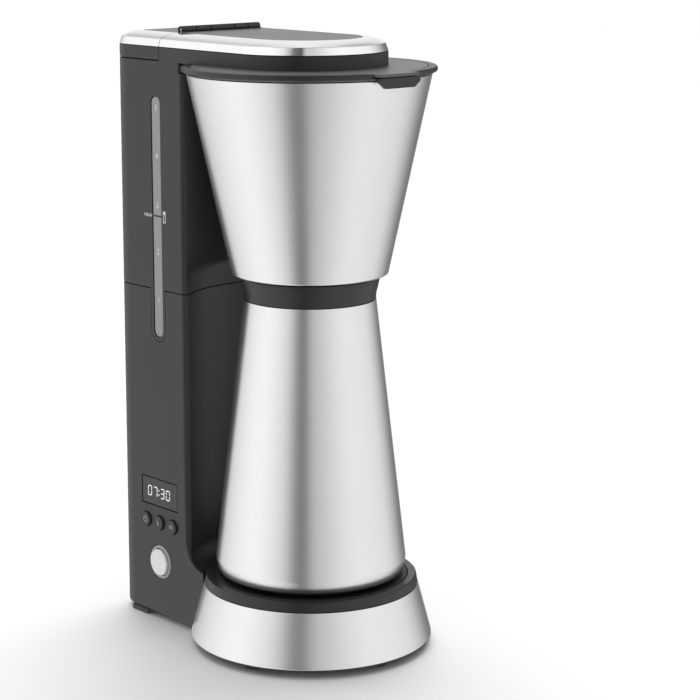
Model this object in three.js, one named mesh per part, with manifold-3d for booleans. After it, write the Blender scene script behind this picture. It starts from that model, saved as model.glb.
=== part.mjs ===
// Drip coffee maker with a steel funnel filter and a steel vacuum carafe.
// Millimetres, +Z up. Inside this file the brew axis, the vertical line through the funnel,
// the carafe and the round base, is x = 0, y = 0. The tower stands at -X and its controls face -Y.
// The last lines move the whole machine so that its bounding box is centred on the origin.
import * as THREE from 'three';
import { mergeVertices } from 'three/addons/utils/BufferGeometryUtils.js';
import Module from 'manifold-3d';

const wasm = await Module();
wasm.setup();

// ---- Clearances ----
const GAP = 0.3;            // between two pieces that touch
const LIFT_GAP = 1.2;       // between the carafe lid and the funnel above it
const SLIDE_GAP = 0.5;      // round a push button
const HINGE_GAP = 0.35;     // round the lid hinge's knuckles and pin

// ---- Tower and walls ----
const WALL = 2.5;           // moulded housing wall
const FLOOR_GAP = 3.5;      // table to the underside of the housing and the base pan
const HALF_WIDTH = 43.5;    // middle plane to either side of the tower
const TOWER_REAR = 122;     // brew axis to the rear face
const TOWER_FRONT = 54.5;   // brew axis to the front face
const REAR_RADIUS = 18;
const FRONT_RADIUS = 3;
const PAN_THICK = 2;
const SHELF_THICK = 3;

// ---- Round base ----
const SKIRT_HEIGHT = 31.1;
const SKIRT_BOTTOM_R = 66.2;
const SKIRT_TOP_R = 58.4;
const SKIRT_EDGE = 2.5;     // radius of the skirt's rolled lower edge
const STEEL = 1;            // sheet thickness
const RING_HEIGHT = 4;
const RING_TOP_R = 57.4;
const RING_WIDTH = 4.5;

// ---- Carafe bay in the tower ----
const BAY_R = 67.3;         // bay wall at its top
const BAY_DRAFT = 1.9;      // how much wider it is at its floor
const BAY_FILLET = 13;
const BAY_BELOW_RING = 2.8; // bay floor below the top of the base ring next to it
const BAY_TOP_RADIUS = 6;

// ---- Carafe ----
const CARAFE_HEIGHT = 146.1;   // steel shell
const CARAFE_R = 51.8;         // widest, near the bottom
const CARAFE_EDGE_R = 47.5;    // at the bottom edge
const CARAFE_NECK_R = 35.5;
const CARAFE_WALL = 1;
const VACUUM_GAP = 4;
const CARAFE_RING_H = 4.3;
const CARAFE_RING_R = 46;
const LID_HEIGHT = 13.6;
const LID_TOP_R = 37.3;
const LID_HOLE_R = 10;

// ---- Funnel filter ----
const FUNNEL_HEIGHT = 105;
const FUNNEL_BOTTOM_R = 41.9;
const FUNNEL_TOP_R = 65;
const FUNNEL_EDGE = 2.5;
const RIM_HEIGHT = 5.5;
const RIM_OVERHANG = 2.6;      // rim's edge beyond the funnel's
const RIM_BEVEL = 2.3;
const RIM_SEAT_INSET = 2.2;    // funnel's edge to the filter lid's seat
const BASKET_WALL = 2;
const BASKET_FLOOR_R = 22;
const BASKET_FLOOR_H = 8;      // basket floor above the funnel's bottom
const FILTER_LID_THICK = 2;
const TONGUE_WIDTH = 27.2;
const TONGUE_REACH = 4;        // how far it passes the rim
const TONGUE_THICK = 1.6;
const FLAP_DROP = 4.2;         // grip flap below the rim's bevel
const FUNNEL_CLEAR = 1.5;      // funnel to the tower behind it
const VALVE_FOOT_R = 8.5;
const VALVE_STEM_R = 2.5;
const VALVE_SEAL = 1.4;

// ---- Brew head and lid ----
const HEAD_CENTRE = -2.7;      // centre of the head's half-round front
const BAND_HEIGHT = 7.5;
const TRIM_HEIGHT = 7;
const TRIM_STEP = 1.5;         // inset of the trim's steep lower facet
const TRIM_STEP_H = 4.1;
const TRIM_WIDTH = 13.5;       // inset of the top panel
const TRIM_THICK = 1.6;
const PANEL_THICK = 2;
const SEAM_X = -74.1;          // plane between the fixed head and the tank lid
const SEAM_GAP = 0.4;
const HEAD_FLOOR = 2;
const HINGE_BEHIND = 1.9;      // hinge axis behind the seam
const HINGE_RAISE = 1.2;       // hinge axis above the panel
const KNUCKLE_R = 2.05;
const PIN_R = 0.9;
const HINGE_HALF = 27.6;
const KNUCKLE_JOINTS = [-17.4, -7.4, 9.2, 18.6];     // the middle knuckle is the widest
const OUTLET_R = 14.5;

// ---- Tank, gauge and pipes ----
const TANK_WALL = 2;
const TANK_DEPTH_BELOW_SEAM = 40;
const TANK_TOP_CLEAR = 3.5;
const GAUGE_X = -77.9;
const GAUGE_WIDTH = 7.7;
const GAUGE_TOP_BELOW_HEAD = 19.4;
const GAUGE_BELOW_SEAM = 26.8;
const GAUGE_LAND = 2.5;        // upper shell left round the gauge where it dips below the seam
const PIPE_R = 3;
const PIPE_BORE = 2;
const SPIGOT_R = 6;            // tank outlet with its grommet seat
const CHECK_VALVE_BODY = 16;
const HEATER_LEG = 12;         // width of the heater's bar
const HEATER_HEIGHT = 18;
const HEATER_BEND = 8;         // inside radius of its bend

// ---- Controls ----
const CONTROL_X = -79.5;
const WINDOW_WIDTH = 32.2;
const WINDOW_HEIGHT = 15.4;
const WINDOW_Z = 73.8;
const KEY_Z = 56.8;
const KEY_PITCH = 12;
const KEY_R = 3.9;
const KEY_PROUD = 0.8;
const KEY_TRAVEL = 1.2;
const POWER_Z = 33.9;
const POWER_R = 7.6;
const POWER_PROUD = 1.5;
const POWER_TRAVEL = 1.4;
const POWER_RING_R = 9.6;
const BOARD_THICK = 1.6;
const BOARD_BEHIND_WALL = 6.2; // board's front face behind the housing's inner face

// ---- Feet, screws and cable inlet ----
const SCREW_R = 1.5;
const SCREW_SPOTS = [[-108, 24], [-108, -24], [-30, 0], [38, 0]];
const FOOT_RING = 53;          // brew axis to the middle of a front foot
const FOOT_ANGLES = [0, 74, -74];
const GLAND_R = 5.2;
const GLAND_Y = 16;
const GLAND_Z = 18;

// ---- Heights that follow ----
const skirtTop = FLOOR_GAP + SKIRT_HEIGHT;
const platformTop = skirtTop + RING_HEIGHT;
const bayFloor = platformTop - BAY_BELOW_RING;
const carafeBottom = platformTop + GAP;
const shellBottom = carafeBottom + CARAFE_RING_H + GAP;
const shellTop = shellBottom + CARAFE_HEIGHT;
const lidTop = shellTop + GAP + LID_HEIGHT;
const funnelBottom = lidTop + LIFT_GAP;
const rimBottom = funnelBottom + FUNNEL_HEIGHT;
const rimTop = rimBottom + RIM_HEIGHT;
const headBottom = rimTop + GAP;
const trimBottom = headBottom + BAND_HEIGHT;
const panelTop = trimBottom + TRIM_HEIGHT;
const seamZ = shellTop + 0.4;          // where the tower's two shells meet
const bayTop = funnelBottom + 2.2;
const tankBottom = seamZ - TANK_DEPTH_BELOW_SEAM;
const tankTop = headBottom - TANK_TOP_CLEAR;
const shelfTop = tankBottom - GAP;
const rimR = FUNNEL_TOP_R + RIM_OVERHANG;
const lidSeatR = FUNNEL_TOP_R - RIM_SEAT_INSET;
const wallInside = HALF_WIDTH - WALL;
const hingeX = SEAM_X - HINGE_BEHIND;
const hingeZ = panelTop + HINGE_RAISE;
const boardY = -wallInside + BOARD_BEHIND_WALL;

// ---- Tools ----
const ROUND = 32;           // sides of a large round piece
const SMALL = 16;           // sides of a small one
const QUARTER = 8;          // steps in a quarter of the head's outline
const FAR = 400;            // longer than anything here

function toSolid(geometry) {
  geometry.deleteAttribute('normal');
  geometry.deleteAttribute('uv');
  const welded = mergeVertices(geometry, 1e-4);
  const index = welded.index.array;
  const kept = [];
  for (let i = 0; i < index.length; i += 3) {
    const [a, b, c] = index.slice(i, i + 3);
    if (a !== b && b !== c && c !== a) kept.push(a, b, c);
  }
  const vertProperties = Float32Array.from(welded.attributes.position.array);
  return new wasm.Manifold(new wasm.Mesh({ numProp: 3, vertProperties, triVerts: Uint32Array.from(kept) }));
}

function toGeometry(solid) {
  const { vertProperties, triVerts } = solid.getMesh();
  const geometry = new THREE.BufferGeometry();
  geometry.setAttribute('position', new THREE.BufferAttribute(vertProperties, 3));
  geometry.setIndex(new THREE.BufferAttribute(triVerts, 1));
  geometry.computeVertexNormals();
  return geometry;
}

function join(first, ...others) {
  return others.reduce((sum, solid) => sum.add(solid), first);
}

function cut(solid, ...tools) {
  return tools.reduce((rest, tool) => rest.subtract(tool), solid);
}

function signedArea(points) {
  return points.reduce((sum, p, i) => {
    const q = points[(i + 1) % points.length];
    return sum + (p[0] * q[1] - q[0] * p[1]) / 2;
  }, 0);
}

// Revolves a closed outline of [radius, height] points about the vertical line through (x, y).
function revolve(outline, sides = ROUND, x = 0, y = 0) {
  const ordered = signedArea(outline) < 0 ? [...outline].reverse() : outline;
  const start = ordered.findIndex((p, i) => {
    return p[0] === 0 && ordered[(i - 1 + ordered.length) % ordered.length][0] === 0;
  });
  const turned = start < 0 ? ordered : [...ordered.slice(start), ...ordered.slice(0, start)];
  const loop = start < 0 ? [...turned, turned[0]] : turned;
  const geometry = new THREE.LatheGeometry(loop.map(([r, z]) => new THREE.Vector2(r, z)), sides);
  return toSolid(geometry.rotateX(Math.PI / 2).translate(x, y, 0));
}

// Points of an arc about (r, z), from one angle to another in degrees.
function arc(r, z, radius, from, to, steps = 4) {
  return Array.from({ length: steps + 1 }, (_, i) => {
    const angle = THREE.MathUtils.degToRad(from + (to - from) * i / steps);
    return [r + radius * Math.cos(angle), z + radius * Math.sin(angle)];
  });
}

function prism(shape, low, high, curveSegments = 8) {
  const settings = { depth: high - low, bevelEnabled: false, curveSegments };
  return toSolid(new THREE.ExtrudeGeometry(shape, settings).translate(0, 0, low));
}

function box(x0, x1, y0, y1, z0, z1) {
  const geometry = new THREE.BoxGeometry(x1 - x0, y1 - y0, z1 - z0);
  return toSolid(geometry.translate((x0 + x1) / 2, (y0 + y1) / 2, (z0 + z1) / 2));
}

function post(radius, low, high, x = 0, y = 0, sides = SMALL) {
  const geometry = new THREE.CylinderGeometry(radius, radius, high - low, sides);
  return toSolid(geometry.rotateX(Math.PI / 2).translate(x, y, (low + high) / 2));
}

// A round bar along Y.
function crossBar(radius, y0, y1, x, z, sides = SMALL) {
  const geometry = new THREE.CylinderGeometry(radius, radius, y1 - y0, sides);
  return toSolid(geometry.translate(x, (y0 + y1) / 2, z));
}

// A round bar along X.
function longBar(radius, x0, x1, y, z, sides = SMALL) {
  const geometry = new THREE.CylinderGeometry(radius, radius, x1 - x0, sides);
  return toSolid(geometry.rotateZ(Math.PI / 2).translate((x0 + x1) / 2, y, z));
}

// A flat plate standing in the XZ plane between two depths.
function wallPlate(shape, y0, y1, curveSegments = 6) {
  const settings = { depth: y1 - y0, bevelEnabled: false, curveSegments };
  return toSolid(new THREE.ExtrudeGeometry(shape, settings).rotateX(Math.PI / 2).translate(0, y1, 0));
}

function pipe(points, radius, bore, pitch) {
  const section = new THREE.Shape().absarc(0, 0, radius, 0, 2 * Math.PI);
  section.holes.push(new THREE.Path().absarc(0, 0, bore, 0, 2 * Math.PI, true));
  const extrudePath = new THREE.CatmullRomCurve3(points.map((p) => new THREE.Vector3(...p)));
  const steps = Math.round(extrudePath.getLength() / pitch);
  return toSolid(new THREE.ExtrudeGeometry(section, { extrudePath, steps, curveSegments: 4 }));
}

// ---- Outlines ----
function roundedOutline(x0, x1, y0, y1, radii) {
  const [r00, r10, r11, r01] = radii;
  const quarter = Math.PI / 2;
  const shape = new THREE.Shape();
  shape.moveTo(x0 + r00, y0).lineTo(x1 - r10, y0);
  shape.absarc(x1 - r10, y0 + r10, r10, -quarter, 0);
  shape.absarc(x1 - r11, y1 - r11, r11, 0, quarter);
  shape.absarc(x0 + r01, y1 - r01, r01, quarter, 2 * quarter);
  shape.absarc(x0 + r00, y0 + r00, r00, 2 * quarter, 3 * quarter);
  return shape;
}

function towerOutline(inset) {
  const rear = REAR_RADIUS - inset;
  const front = Math.max(FRONT_RADIUS - inset, 0.5);
  const side = HALF_WIDTH - inset;
  return roundedOutline(-TOWER_REAR + inset, -TOWER_FRONT - inset, -side, side, [rear, front, front, rear]);
}

function headOutline(inset) {
  const side = HALF_WIDTH - inset;
  const rear = REAR_RADIUS - inset;
  const end = HEAD_CENTRE + side;
  return roundedOutline(-TOWER_REAR + inset, end, -side, side, [rear, side, side, rear]);
}

const aheadOfSeam = box(SEAM_X + SEAM_GAP / 2, FAR, -FAR, FAR, -FAR, FAR);
const behindSeam = box(-FAR, SEAM_X - SEAM_GAP / 2, -FAR, FAR, -FAR, FAR);

function funnelRadius(z) {
  return FUNNEL_BOTTOM_R + (FUNNEL_TOP_R - FUNNEL_BOTTOM_R) * (z - funnelBottom) / FUNNEL_HEIGHT;
}

function skirtRadius(z) {
  return SKIRT_BOTTOM_R + (SKIRT_TOP_R - SKIRT_BOTTOM_R) * (z - FLOOR_GAP) / SKIRT_HEIGHT;
}

function carafeRadius(z) {
  const widest = shellBottom + 5.5;
  return CARAFE_R + (CARAFE_NECK_R - CARAFE_R) * (z - widest) / (shellTop - widest);
}

// The space that the tower leaves free for the carafe, the funnel and its rim, grown by a wall thickness.
function bay(grow) {
  const low = BAY_R + BAY_DRAFT + grow;
  const high = BAY_R + grow;
  const floor = bayFloor - grow;
  const fillet = BAY_FILLET + grow;
  const corner = BAY_TOP_RADIUS + grow;
  const top = bayTop + grow;
  const neck = funnelRadius(bayTop) + FUNNEL_CLEAR + grow;
  const ledge = rimBottom - GAP - grow;
  const pocket = rimR + 2.4 + grow;
  const outline = [
    [0, floor],
    ...arc(low - fillet, floor + fillet, fillet, -90, 0, 6),
    ...arc(high - corner, top - corner, corner, 0, 90, 4),
    [neck + 6, top - 3],
    [neck, top - 3],
    [funnelRadius(ledge) + FUNNEL_CLEAR + grow, ledge],
    [pocket, ledge],
    [pocket, headBottom],
    [0, headBottom],
  ];
  return revolve(outline);
}

// ---- Housing ----
// The low part of the tower runs forward on both sides until it meets the round base.
function lowBlock(inset, low, high) {
  const side = HALF_WIDTH - inset;
  const block = box(-TOWER_FRONT - 8, -SKIRT_TOP_R / 2, -side, side, low, high);
  return cut(block, post(SKIRT_TOP_R + 0.4, low - 1, high + 1, 0, 0, ROUND));
}

function gaugeOutline(grow) {
  const half = GAUGE_WIDTH / 2 + grow;
  const bottom = seamZ - GAUGE_BELOW_SEAM - grow;
  const top = headBottom - GAUGE_TOP_BELOW_HEAD + grow;
  return roundedOutline(GAUGE_X - half, GAUGE_X + half, bottom, top, [half, half, half, half]);
}

// A cutter that goes right through the side wall where the controls and the gauge are.
function wallCutter(shape, curveSegments = 8) {
  return wallPlate(shape, -HALF_WIDTH - 1, -wallInside + 1, curveSegments);
}

function circleOutline(x, z, radius) {
  return new THREE.Shape().absarc(x, z, radius, 0, 2 * Math.PI);
}

const keyCentres = [-1, 0, 1].map((i) => CONTROL_X + i * KEY_PITCH);

function lowerHousing() {
  const blockTop = bayFloor + BAY_FILLET + BAY_DRAFT + 2;
  const outer = join(prism(towerOutline(0), FLOOR_GAP, seamZ - GAP), lowBlock(0, FLOOR_GAP, blockTop));
  const inner = join(
    prism(towerOutline(WALL), 0, seamZ + 1),
    box(-TOWER_FRONT - 12, 0, -wallInside, wallInside, 0, blockTop - WALL),
  );
  const hollow = cut(inner, bay(WALL));
  const window = roundedOutline(
    CONTROL_X - WINDOW_WIDTH / 2 - GAP, CONTROL_X + WINDOW_WIDTH / 2 + GAP,
    WINDOW_Z - WINDOW_HEIGHT / 2 - GAP, WINDOW_Z + WINDOW_HEIGHT / 2 + GAP, [0.8, 0.8, 0.8, 0.8]);
  const panTop = FLOOR_GAP + PAN_THICK + GAP;
  return cut(
    outer, bay(0), hollow,
    wallCutter(gaugeOutline(GAUGE_LAND + GAP)),
    wallCutter(window),
    wallCutter(circleOutline(CONTROL_X, POWER_Z, POWER_RING_R + GAP), 14),
    ...keyCentres.map((x) => wallCutter(circleOutline(x, KEY_Z, KEY_R + SLIDE_GAP), 10)),
    post(skirtRadius(FLOOR_GAP) - 1.6, 0, panTop, 0, 0, ROUND),
    post(SKIRT_TOP_R + 0.4, 0, bayFloor + 1, 0, 0, ROUND),
    longBar(GLAND_R + GAP, -TOWER_REAR - 5, -TOWER_REAR + WALL + 5, GLAND_Y, GLAND_Z),
  );
}

function upperHousing() {
  const headFloorTop = headBottom + HEAD_FLOOR;
  const above = trimBottom + 1;
  const dip = wallPlate(gaugeOutline(GAUGE_LAND), -HALF_WIDTH, -wallInside, 8);
  const tower = join(
    prism(towerOutline(0), seamZ, headBottom - GAP),
    prism(towerOutline(0), seamZ, headBottom + 1).intersect(aheadOfSeam),
    prism(headOutline(0), headBottom, trimBottom - GAP, QUARTER).intersect(aheadOfSeam),
    dip,
  );
  const insideHead = box(SEAM_X + SEAM_GAP / 2 + WALL, FAR, -FAR, FAR, -FAR, FAR);
  const shaft = cut(prism(towerOutline(WALL), seamZ - 1, headBottom + 1), bay(WALL));
  const hollow = join(
    shaft,
    prism(headOutline(WALL), headFloorTop, above, QUARTER).intersect(insideHead),
    prism(towerOutline(WALL), headBottom - 1, above).intersect(insideHead),
  );
  const outletHole = post(OUTLET_R + GAP, headBottom - 1, above, 0, 0, 24);
  return cut(tower, bay(0), hollow, wallCutter(gaugeOutline(GAP)), outletHole);
}

function gaugeWindow() {
  return wallPlate(gaugeOutline(0), -HALF_WIDTH + GAP, -wallInside, 8);
}

// A shelf that carries the tank and parts it from the heater and the electronics.
function tankShelf() {
  const plate = cut(prism(towerOutline(WALL + GAP), shelfTop - SHELF_THICK, shelfTop), bay(WALL + GAP));
  return cut(
    plate,
    post(PIPE_R + 1, 0, FAR, riser.x, riser.y),
    post(SPIGOT_R + 1, 0, FAR, spigot.x, spigot.y),
  );
}

// ---- Tank and water path ----
const spigot = { x: -100, y: -10 };
const riserY = wallInside - PIPE_R - 3;
const riserReach = BAY_R + BAY_DRAFT + WALL + GAP + PIPE_R + 0.5;
const riser = { x: -Math.sqrt(riserReach ** 2 - riserY ** 2), y: riserY };
const tankFront = -(BAY_R + WALL + 3);
const heaterZ = FLOOR_GAP + PAN_THICK + 8;
const heater = { x: -92, y: 6, end: -66 };
const legY = HEATER_BEND + HEATER_LEG / 2;
const stubX = heater.end - 12;
const stubTop = heaterZ + HEATER_HEIGHT + 8;

function tankOutline(inset) {
  const clear = WALL + 0.6 + inset;
  const side = HALF_WIDTH - clear;
  const rear = REAR_RADIUS - clear;
  const front = 4 - inset * 0.8;
  return roundedOutline(-TOWER_REAR + clear, tankFront - inset, -side, side, [rear, front, front, rear]);
}

function waterTank() {
  return cut(
    join(
      prism(tankOutline(0), tankBottom, tankTop),
      post(SPIGOT_R - 1, shelfTop - SHELF_THICK - 5, tankBottom + 1, spigot.x, spigot.y),
    ),
    prism(tankOutline(TANK_WALL), tankBottom + TANK_WALL + 0.5, FAR),
    post(PIPE_BORE + 0.5, 0, tankBottom + 5, spigot.x, spigot.y),
  );
}

function outletGrommet() {
  const low = shelfTop - SHELF_THICK;
  const outline = [[SPIGOT_R - 0.8, low - 3], [SPIGOT_R + 2, low - 3], [SPIGOT_R + 2, low - GAP],
    [SPIGOT_R + 0.7, low - GAP], [SPIGOT_R + 0.7, shelfTop - 0.5], [SPIGOT_R - 0.8, shelfTop - 0.5]];
  return revolve(outline, SMALL, spigot.x, spigot.y);
}

// Ball valve that keeps hot water from running back into the tank.
const valveTop = shelfTop - SHELF_THICK - 5 - GAP;

function checkValve() {
  const low = valveTop - CHECK_VALVE_BODY;
  const outline = [[PIPE_BORE, low - 8], [PIPE_R + 0.3, low - 8], [PIPE_R + 0.3, low], [SPIGOT_R, low + 2],
    [SPIGOT_R, valveTop], [PIPE_BORE, valveTop]];
  return revolve(outline, SMALL, spigot.x, spigot.y);
}

function tankHose() {
  const top = valveTop - CHECK_VALVE_BODY - 8 - GAP;
  const y = heater.y - legY;
  const drop = top - stubTop;
  const points = [
    [spigot.x, spigot.y, top],
    [spigot.x + 1, spigot.y, top - drop * 0.3],
    [(spigot.x + stubX) / 2, (spigot.y + y) / 2, top - drop * 0.55],
    [stubX - 1, y, stubTop + drop * 0.2],
    [stubX, y, stubTop + GAP],
  ];
  return pipe(points, PIPE_R + 0.5, PIPE_BORE, 5.9);
}

// Aluminium bar bent to a U, with the heating element and the water channel inside it.
function flowHeater() {
  const inner = HEATER_BEND;
  const outer = HEATER_BEND + HEATER_LEG;
  const { x, y, end } = heater;
  const half = Math.PI / 2;
  const outline = new THREE.Shape();
  outline.moveTo(end, y - outer).lineTo(end, y - inner).lineTo(x, y - inner);
  outline.absarc(x, y, inner, -half, half, true);
  outline.lineTo(end, y + inner).lineTo(end, y + outer).lineTo(x, y + outer);
  outline.absarc(x, y, outer, half, 3 * half, false);
  const bar = prism(outline, heaterZ, heaterZ + HEATER_HEIGHT, 10);
  const stubs = [-1, 1].map((side) => post(PIPE_R, heaterZ + 9, stubTop, stubX, y + side * legY, 12));
  const bores = [-1, 1].map((side) => post(PIPE_BORE, heaterZ + 9, FAR, stubX, y + side * legY, 12));
  return cut(join(bar, ...stubs), ...bores);
}

// Feet that stand the heater on the base pan.
function heaterBracket() {
  const { x, y } = heater;
  const low = FLOOR_GAP + PAN_THICK + GAP;
  const outer = HEATER_BEND + HEATER_LEG;
  const bridge = box(x - 6, x + 6, y - outer - 6, y + outer + 6, heaterZ - 2 - GAP, heaterZ - GAP);
  const legs = [-1, 1].map((side) => {
    const middle = y + side * (outer + 3);
    return box(x - 6, x + 6, middle - 1.5, middle + 1.5, low, heaterZ - 1);
  });
  return join(bridge, ...legs);
}

function thermostat() {
  const z = heaterZ + HEATER_HEIGHT + GAP;
  const outline = [[0, z], [8, z], [8, z + 4], [5, z + 5], [5, z + 9], [0, z + 9]];
  return revolve(outline, SMALL, heater.x - HEATER_BEND - HEATER_LEG / 2, heater.y);
}

function thermalFuse() {
  const z = heaterZ + HEATER_HEIGHT + 2.6;
  const y = heater.y + legY;
  const middle = heater.x - 2;
  const wires = longBar(0.8, middle - 10, middle + 10, y, z, 8);
  return join(longBar(2.2, middle - 7, middle + 7, y, z, 12), wires);
}

// Hot water pipe from the heater up beside the tank and along the head to the outlet.
function riserPipe() {
  const y = heater.y + legY;
  const channel = headBottom + HEAD_FLOOR + PIPE_R + 2.2;
  const points = [
    [stubX, y, stubTop + GAP],
    [stubX, y + 0.5, stubTop + 12],
    [(stubX + riser.x) / 2, (y + riser.y) / 2, stubTop + 32],
    [riser.x, riser.y, stubTop + 60],
    [riser.x, riser.y, stubTop + 66],
    [riser.x, riser.y, (stubTop + headBottom) / 2],
    [riser.x, riser.y, headBottom - 12],
    [riser.x, riser.y, headBottom + 1],
    [riser.x + 5, riser.y - 4, channel - 0.5],
    [riser.x * 0.66, riser.y * 0.5, channel],
    [riser.x * 0.36, 2, channel],
    [-OUTLET_R * 0.75, 0, channel],
  ];
  return pipe(points, PIPE_R, PIPE_BORE, 10.3);
}

// Outlet that lets the hot water fall through the filter lid.
function waterOutlet() {
  const channel = headBottom + HEAD_FLOOR + PIPE_R + 2.2;
  const plate = headBottom + 0.2;
  const outline = [[0, plate], [OUTLET_R, plate], [OUTLET_R, plate + 2.5], [OUTLET_R - 4, plate + 3],
    [OUTLET_R - 4, channel + PIPE_R + 1.2], [0, channel + PIPE_R + 1.2]];
  const body = revolve(outline, 24);
  const jets = [0, 60, 120, 180, 240, 300].map((angle) => {
    const turn = THREE.MathUtils.degToRad(angle);
    return post(1, 0, channel, 4 * Math.cos(turn), 4 * Math.sin(turn), 8);
  });
  return cut(body, longBar(PIPE_R + 0.5, -OUTLET_R - 1, 6, 0, channel, 12), ...jets);
}

// ---- Controls ----
function displayWindow() {
  const w = WINDOW_WIDTH / 2;
  const h = WINDOW_HEIGHT / 2;
  const pane = roundedOutline(CONTROL_X - w, CONTROL_X + w, WINDOW_Z - h, WINDOW_Z + h, [0.6, 0.6, 0.6, 0.6]);
  return wallPlate(pane, -HALF_WIDTH + 0.15, -wallInside - GAP, 3);
}

function displayModule() {
  const w = WINDOW_WIDTH / 2;
  const h = WINDOW_HEIGHT / 2;
  return box(CONTROL_X - w, CONTROL_X + w, -wallInside, boardY - GAP, WINDOW_Z - h, WINDOW_Z + h);
}

// A push key: a round cap with a flange behind the housing wall.
function pushKey(x, z, radius, proud) {
  const flange = -wallInside + GAP;
  return join(
    crossBar(radius, -HALF_WIDTH - proud, flange + 0.5, x, z, 20),
    crossBar(radius + 1.2, flange, flange + 1, x, z, 20),
  );
}

function powerRing() {
  const length = [-HALF_WIDTH - 0.4, -wallInside - 0.2];
  return cut(
    crossBar(POWER_RING_R, ...length, CONTROL_X, POWER_Z, 28),
    crossBar(POWER_R + GAP, length[0] - 1, length[1] + 1, CONTROL_X, POWER_Z, 28),
  );
}

function controlBoard() {
  const rear = CONTROL_X - 26;
  const front = -Math.sqrt((BAY_R + BAY_DRAFT + WALL + GAP) ** 2 - (boardY + BOARD_THICK) ** 2);
  const plate = box(rear, front, boardY, boardY + BOARD_THICK, POWER_Z - 14, WINDOW_Z + WINDOW_HEIGHT);
  const switchDepth = BOARD_BEHIND_WALL - 1 - GAP;
  const switches = [...keyCentres.map((x) => [x, KEY_Z, KEY_TRAVEL]), [CONTROL_X, POWER_Z, POWER_TRAVEL]];
  const caps = switches.map(([x, z, travel]) => {
    const body = box(x - 3, x + 3, boardY - 2, boardY + 1, z - 3, z + 3);
    return join(body, crossBar(1.6, boardY - switchDepth + travel + GAP, boardY, x, z, 12));
  });
  const relay = box(rear + 2, rear + 18, boardY + 1, boardY + 14, POWER_Z - 10, POWER_Z + 4);
  const capacitor = post(5, POWER_Z + 12, POWER_Z + 28, rear + 8, boardY + 6.5);
  return join(plate, ...caps, relay, capacitor);
}

function cableGland() {
  const low = -TOWER_REAR;
  const flanged = join(
    longBar(GLAND_R, low, low + WALL + 4, GLAND_Y, GLAND_Z),
    longBar(GLAND_R + 2, low + WALL + GAP, low + WALL + 3, GLAND_Y, GLAND_Z),
  );
  return cut(flanged, longBar(2.6, low - 1, low + WALL + 5, GLAND_Y, GLAND_Z, 14));
}

// ---- Head trim, panels, hinge and tank lid ----
// A solid whose side steps in twice: a steep lower facet and a wide, nearly flat upper one.
function trimBlank(inset, top) {
  const base = top - TRIM_HEIGHT;
  const facets = [
    [TRIM_STEP, TRIM_STEP_H, base],
    [TRIM_WIDTH - TRIM_STEP, TRIM_HEIGHT - TRIM_STEP_H, base + TRIM_STEP_H],
  ];
  const insets = [TRIM_STEP + inset, TRIM_WIDTH + inset];
  const layers = facets.map(([run, rise, z], i) => {
    const settings = { depth: 1, bevelEnabled: true, bevelThickness: rise, bevelSize: run, bevelSegments: 1,
      curveSegments: QUARTER };
    const geometry = new THREE.ExtrudeGeometry(headOutline(insets[i]), settings).translate(0, 0, z - 1);
    return toSolid(geometry).intersect(box(-FAR, FAR, -FAR, FAR, z - 0.01, FAR));
  });
  return join(...layers);
}

function chromeTrim() {
  const inner = trimBlank(TRIM_THICK, panelTop - TRIM_THICK);
  const skirt = prism(headOutline(TRIM_THICK), trimBottom - 5, trimBottom + 1, QUARTER);
  const seat = prism(headOutline(TRIM_WIDTH), panelTop - PANEL_THICK - GAP, panelTop + 1, QUARTER);
  return cut(
    trimBlank(0, panelTop), inner, skirt, seat,
    prism(headOutline(TRIM_WIDTH + 2.5), trimBottom, panelTop, QUARTER),
  );
}

function panelBlank() {
  return prism(headOutline(TRIM_WIDTH + GAP), panelTop - PANEL_THICK, panelTop, QUARTER);
}

const knuckles = [-HINGE_HALF, ...KNUCKLE_JOINTS].map((start, i) => {
  return { start, end: [...KNUCKLE_JOINTS, HINGE_HALF][i], fixed: i % 2 === 0 };
});

// Knuckles with a short leaf that lands on the panel at the given side.
function knuckleRow(fixed) {
  const row = knuckles.filter((k) => k.fixed === fixed);
  const [leafFrom, leafTo] = fixed ? [hingeX, SEAM_X + 5] : [hingeX - 6, hingeX];
  return row.map(({ start, end }) => {
    const y0 = start + SEAM_GAP / 2;
    const y1 = end - SEAM_GAP / 2;
    const barrel = crossBar(KNUCKLE_R, y0, y1, hingeX, hingeZ, 16);
    const leaf = box(leafFrom, leafTo, y0, y1, panelTop - 0.5, panelTop + 0.8);
    const clear = fixed ? behindSeam.intersect(box(-FAR, FAR, -FAR, FAR, -FAR, panelTop + GAP)) : aheadOfSeam;
    return join(barrel, cut(leaf, clear));
  });
}

const pinHole = crossBar(PIN_R + HINGE_GAP, -FAR, FAR, hingeX, hingeZ, 16);

function topPanel() {
  return cut(join(panelBlank().intersect(aheadOfSeam), ...knuckleRow(true)), pinHole);
}

function lidPanel() {
  const reliefs = knuckles.filter((k) => k.fixed).map(({ start, end }) => {
    return crossBar(KNUCKLE_R + HINGE_GAP, start - SEAM_GAP / 2, end + SEAM_GAP / 2, hingeX, hingeZ, 16);
  });
  return cut(join(cut(panelBlank().intersect(behindSeam), ...reliefs), ...knuckleRow(false)), pinHole);
}

function hingePin() {
  return crossBar(PIN_R, -HINGE_HALF + 0.8, HINGE_HALF - 0.8, hingeX, hingeZ, 12);
}

function tankLidBody() {
  const low = headBottom + GAP;
  const tray = cut(
    prism(headOutline(0), low, trimBottom - GAP, QUARTER),
    prism(headOutline(WALL), low + HEAD_FLOOR, FAR, QUARTER).intersect(
      box(-FAR, SEAM_X - SEAM_GAP / 2 - WALL, -FAR, FAR, -FAR, FAR)),
  );
  return tray.intersect(behindSeam);
}

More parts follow.
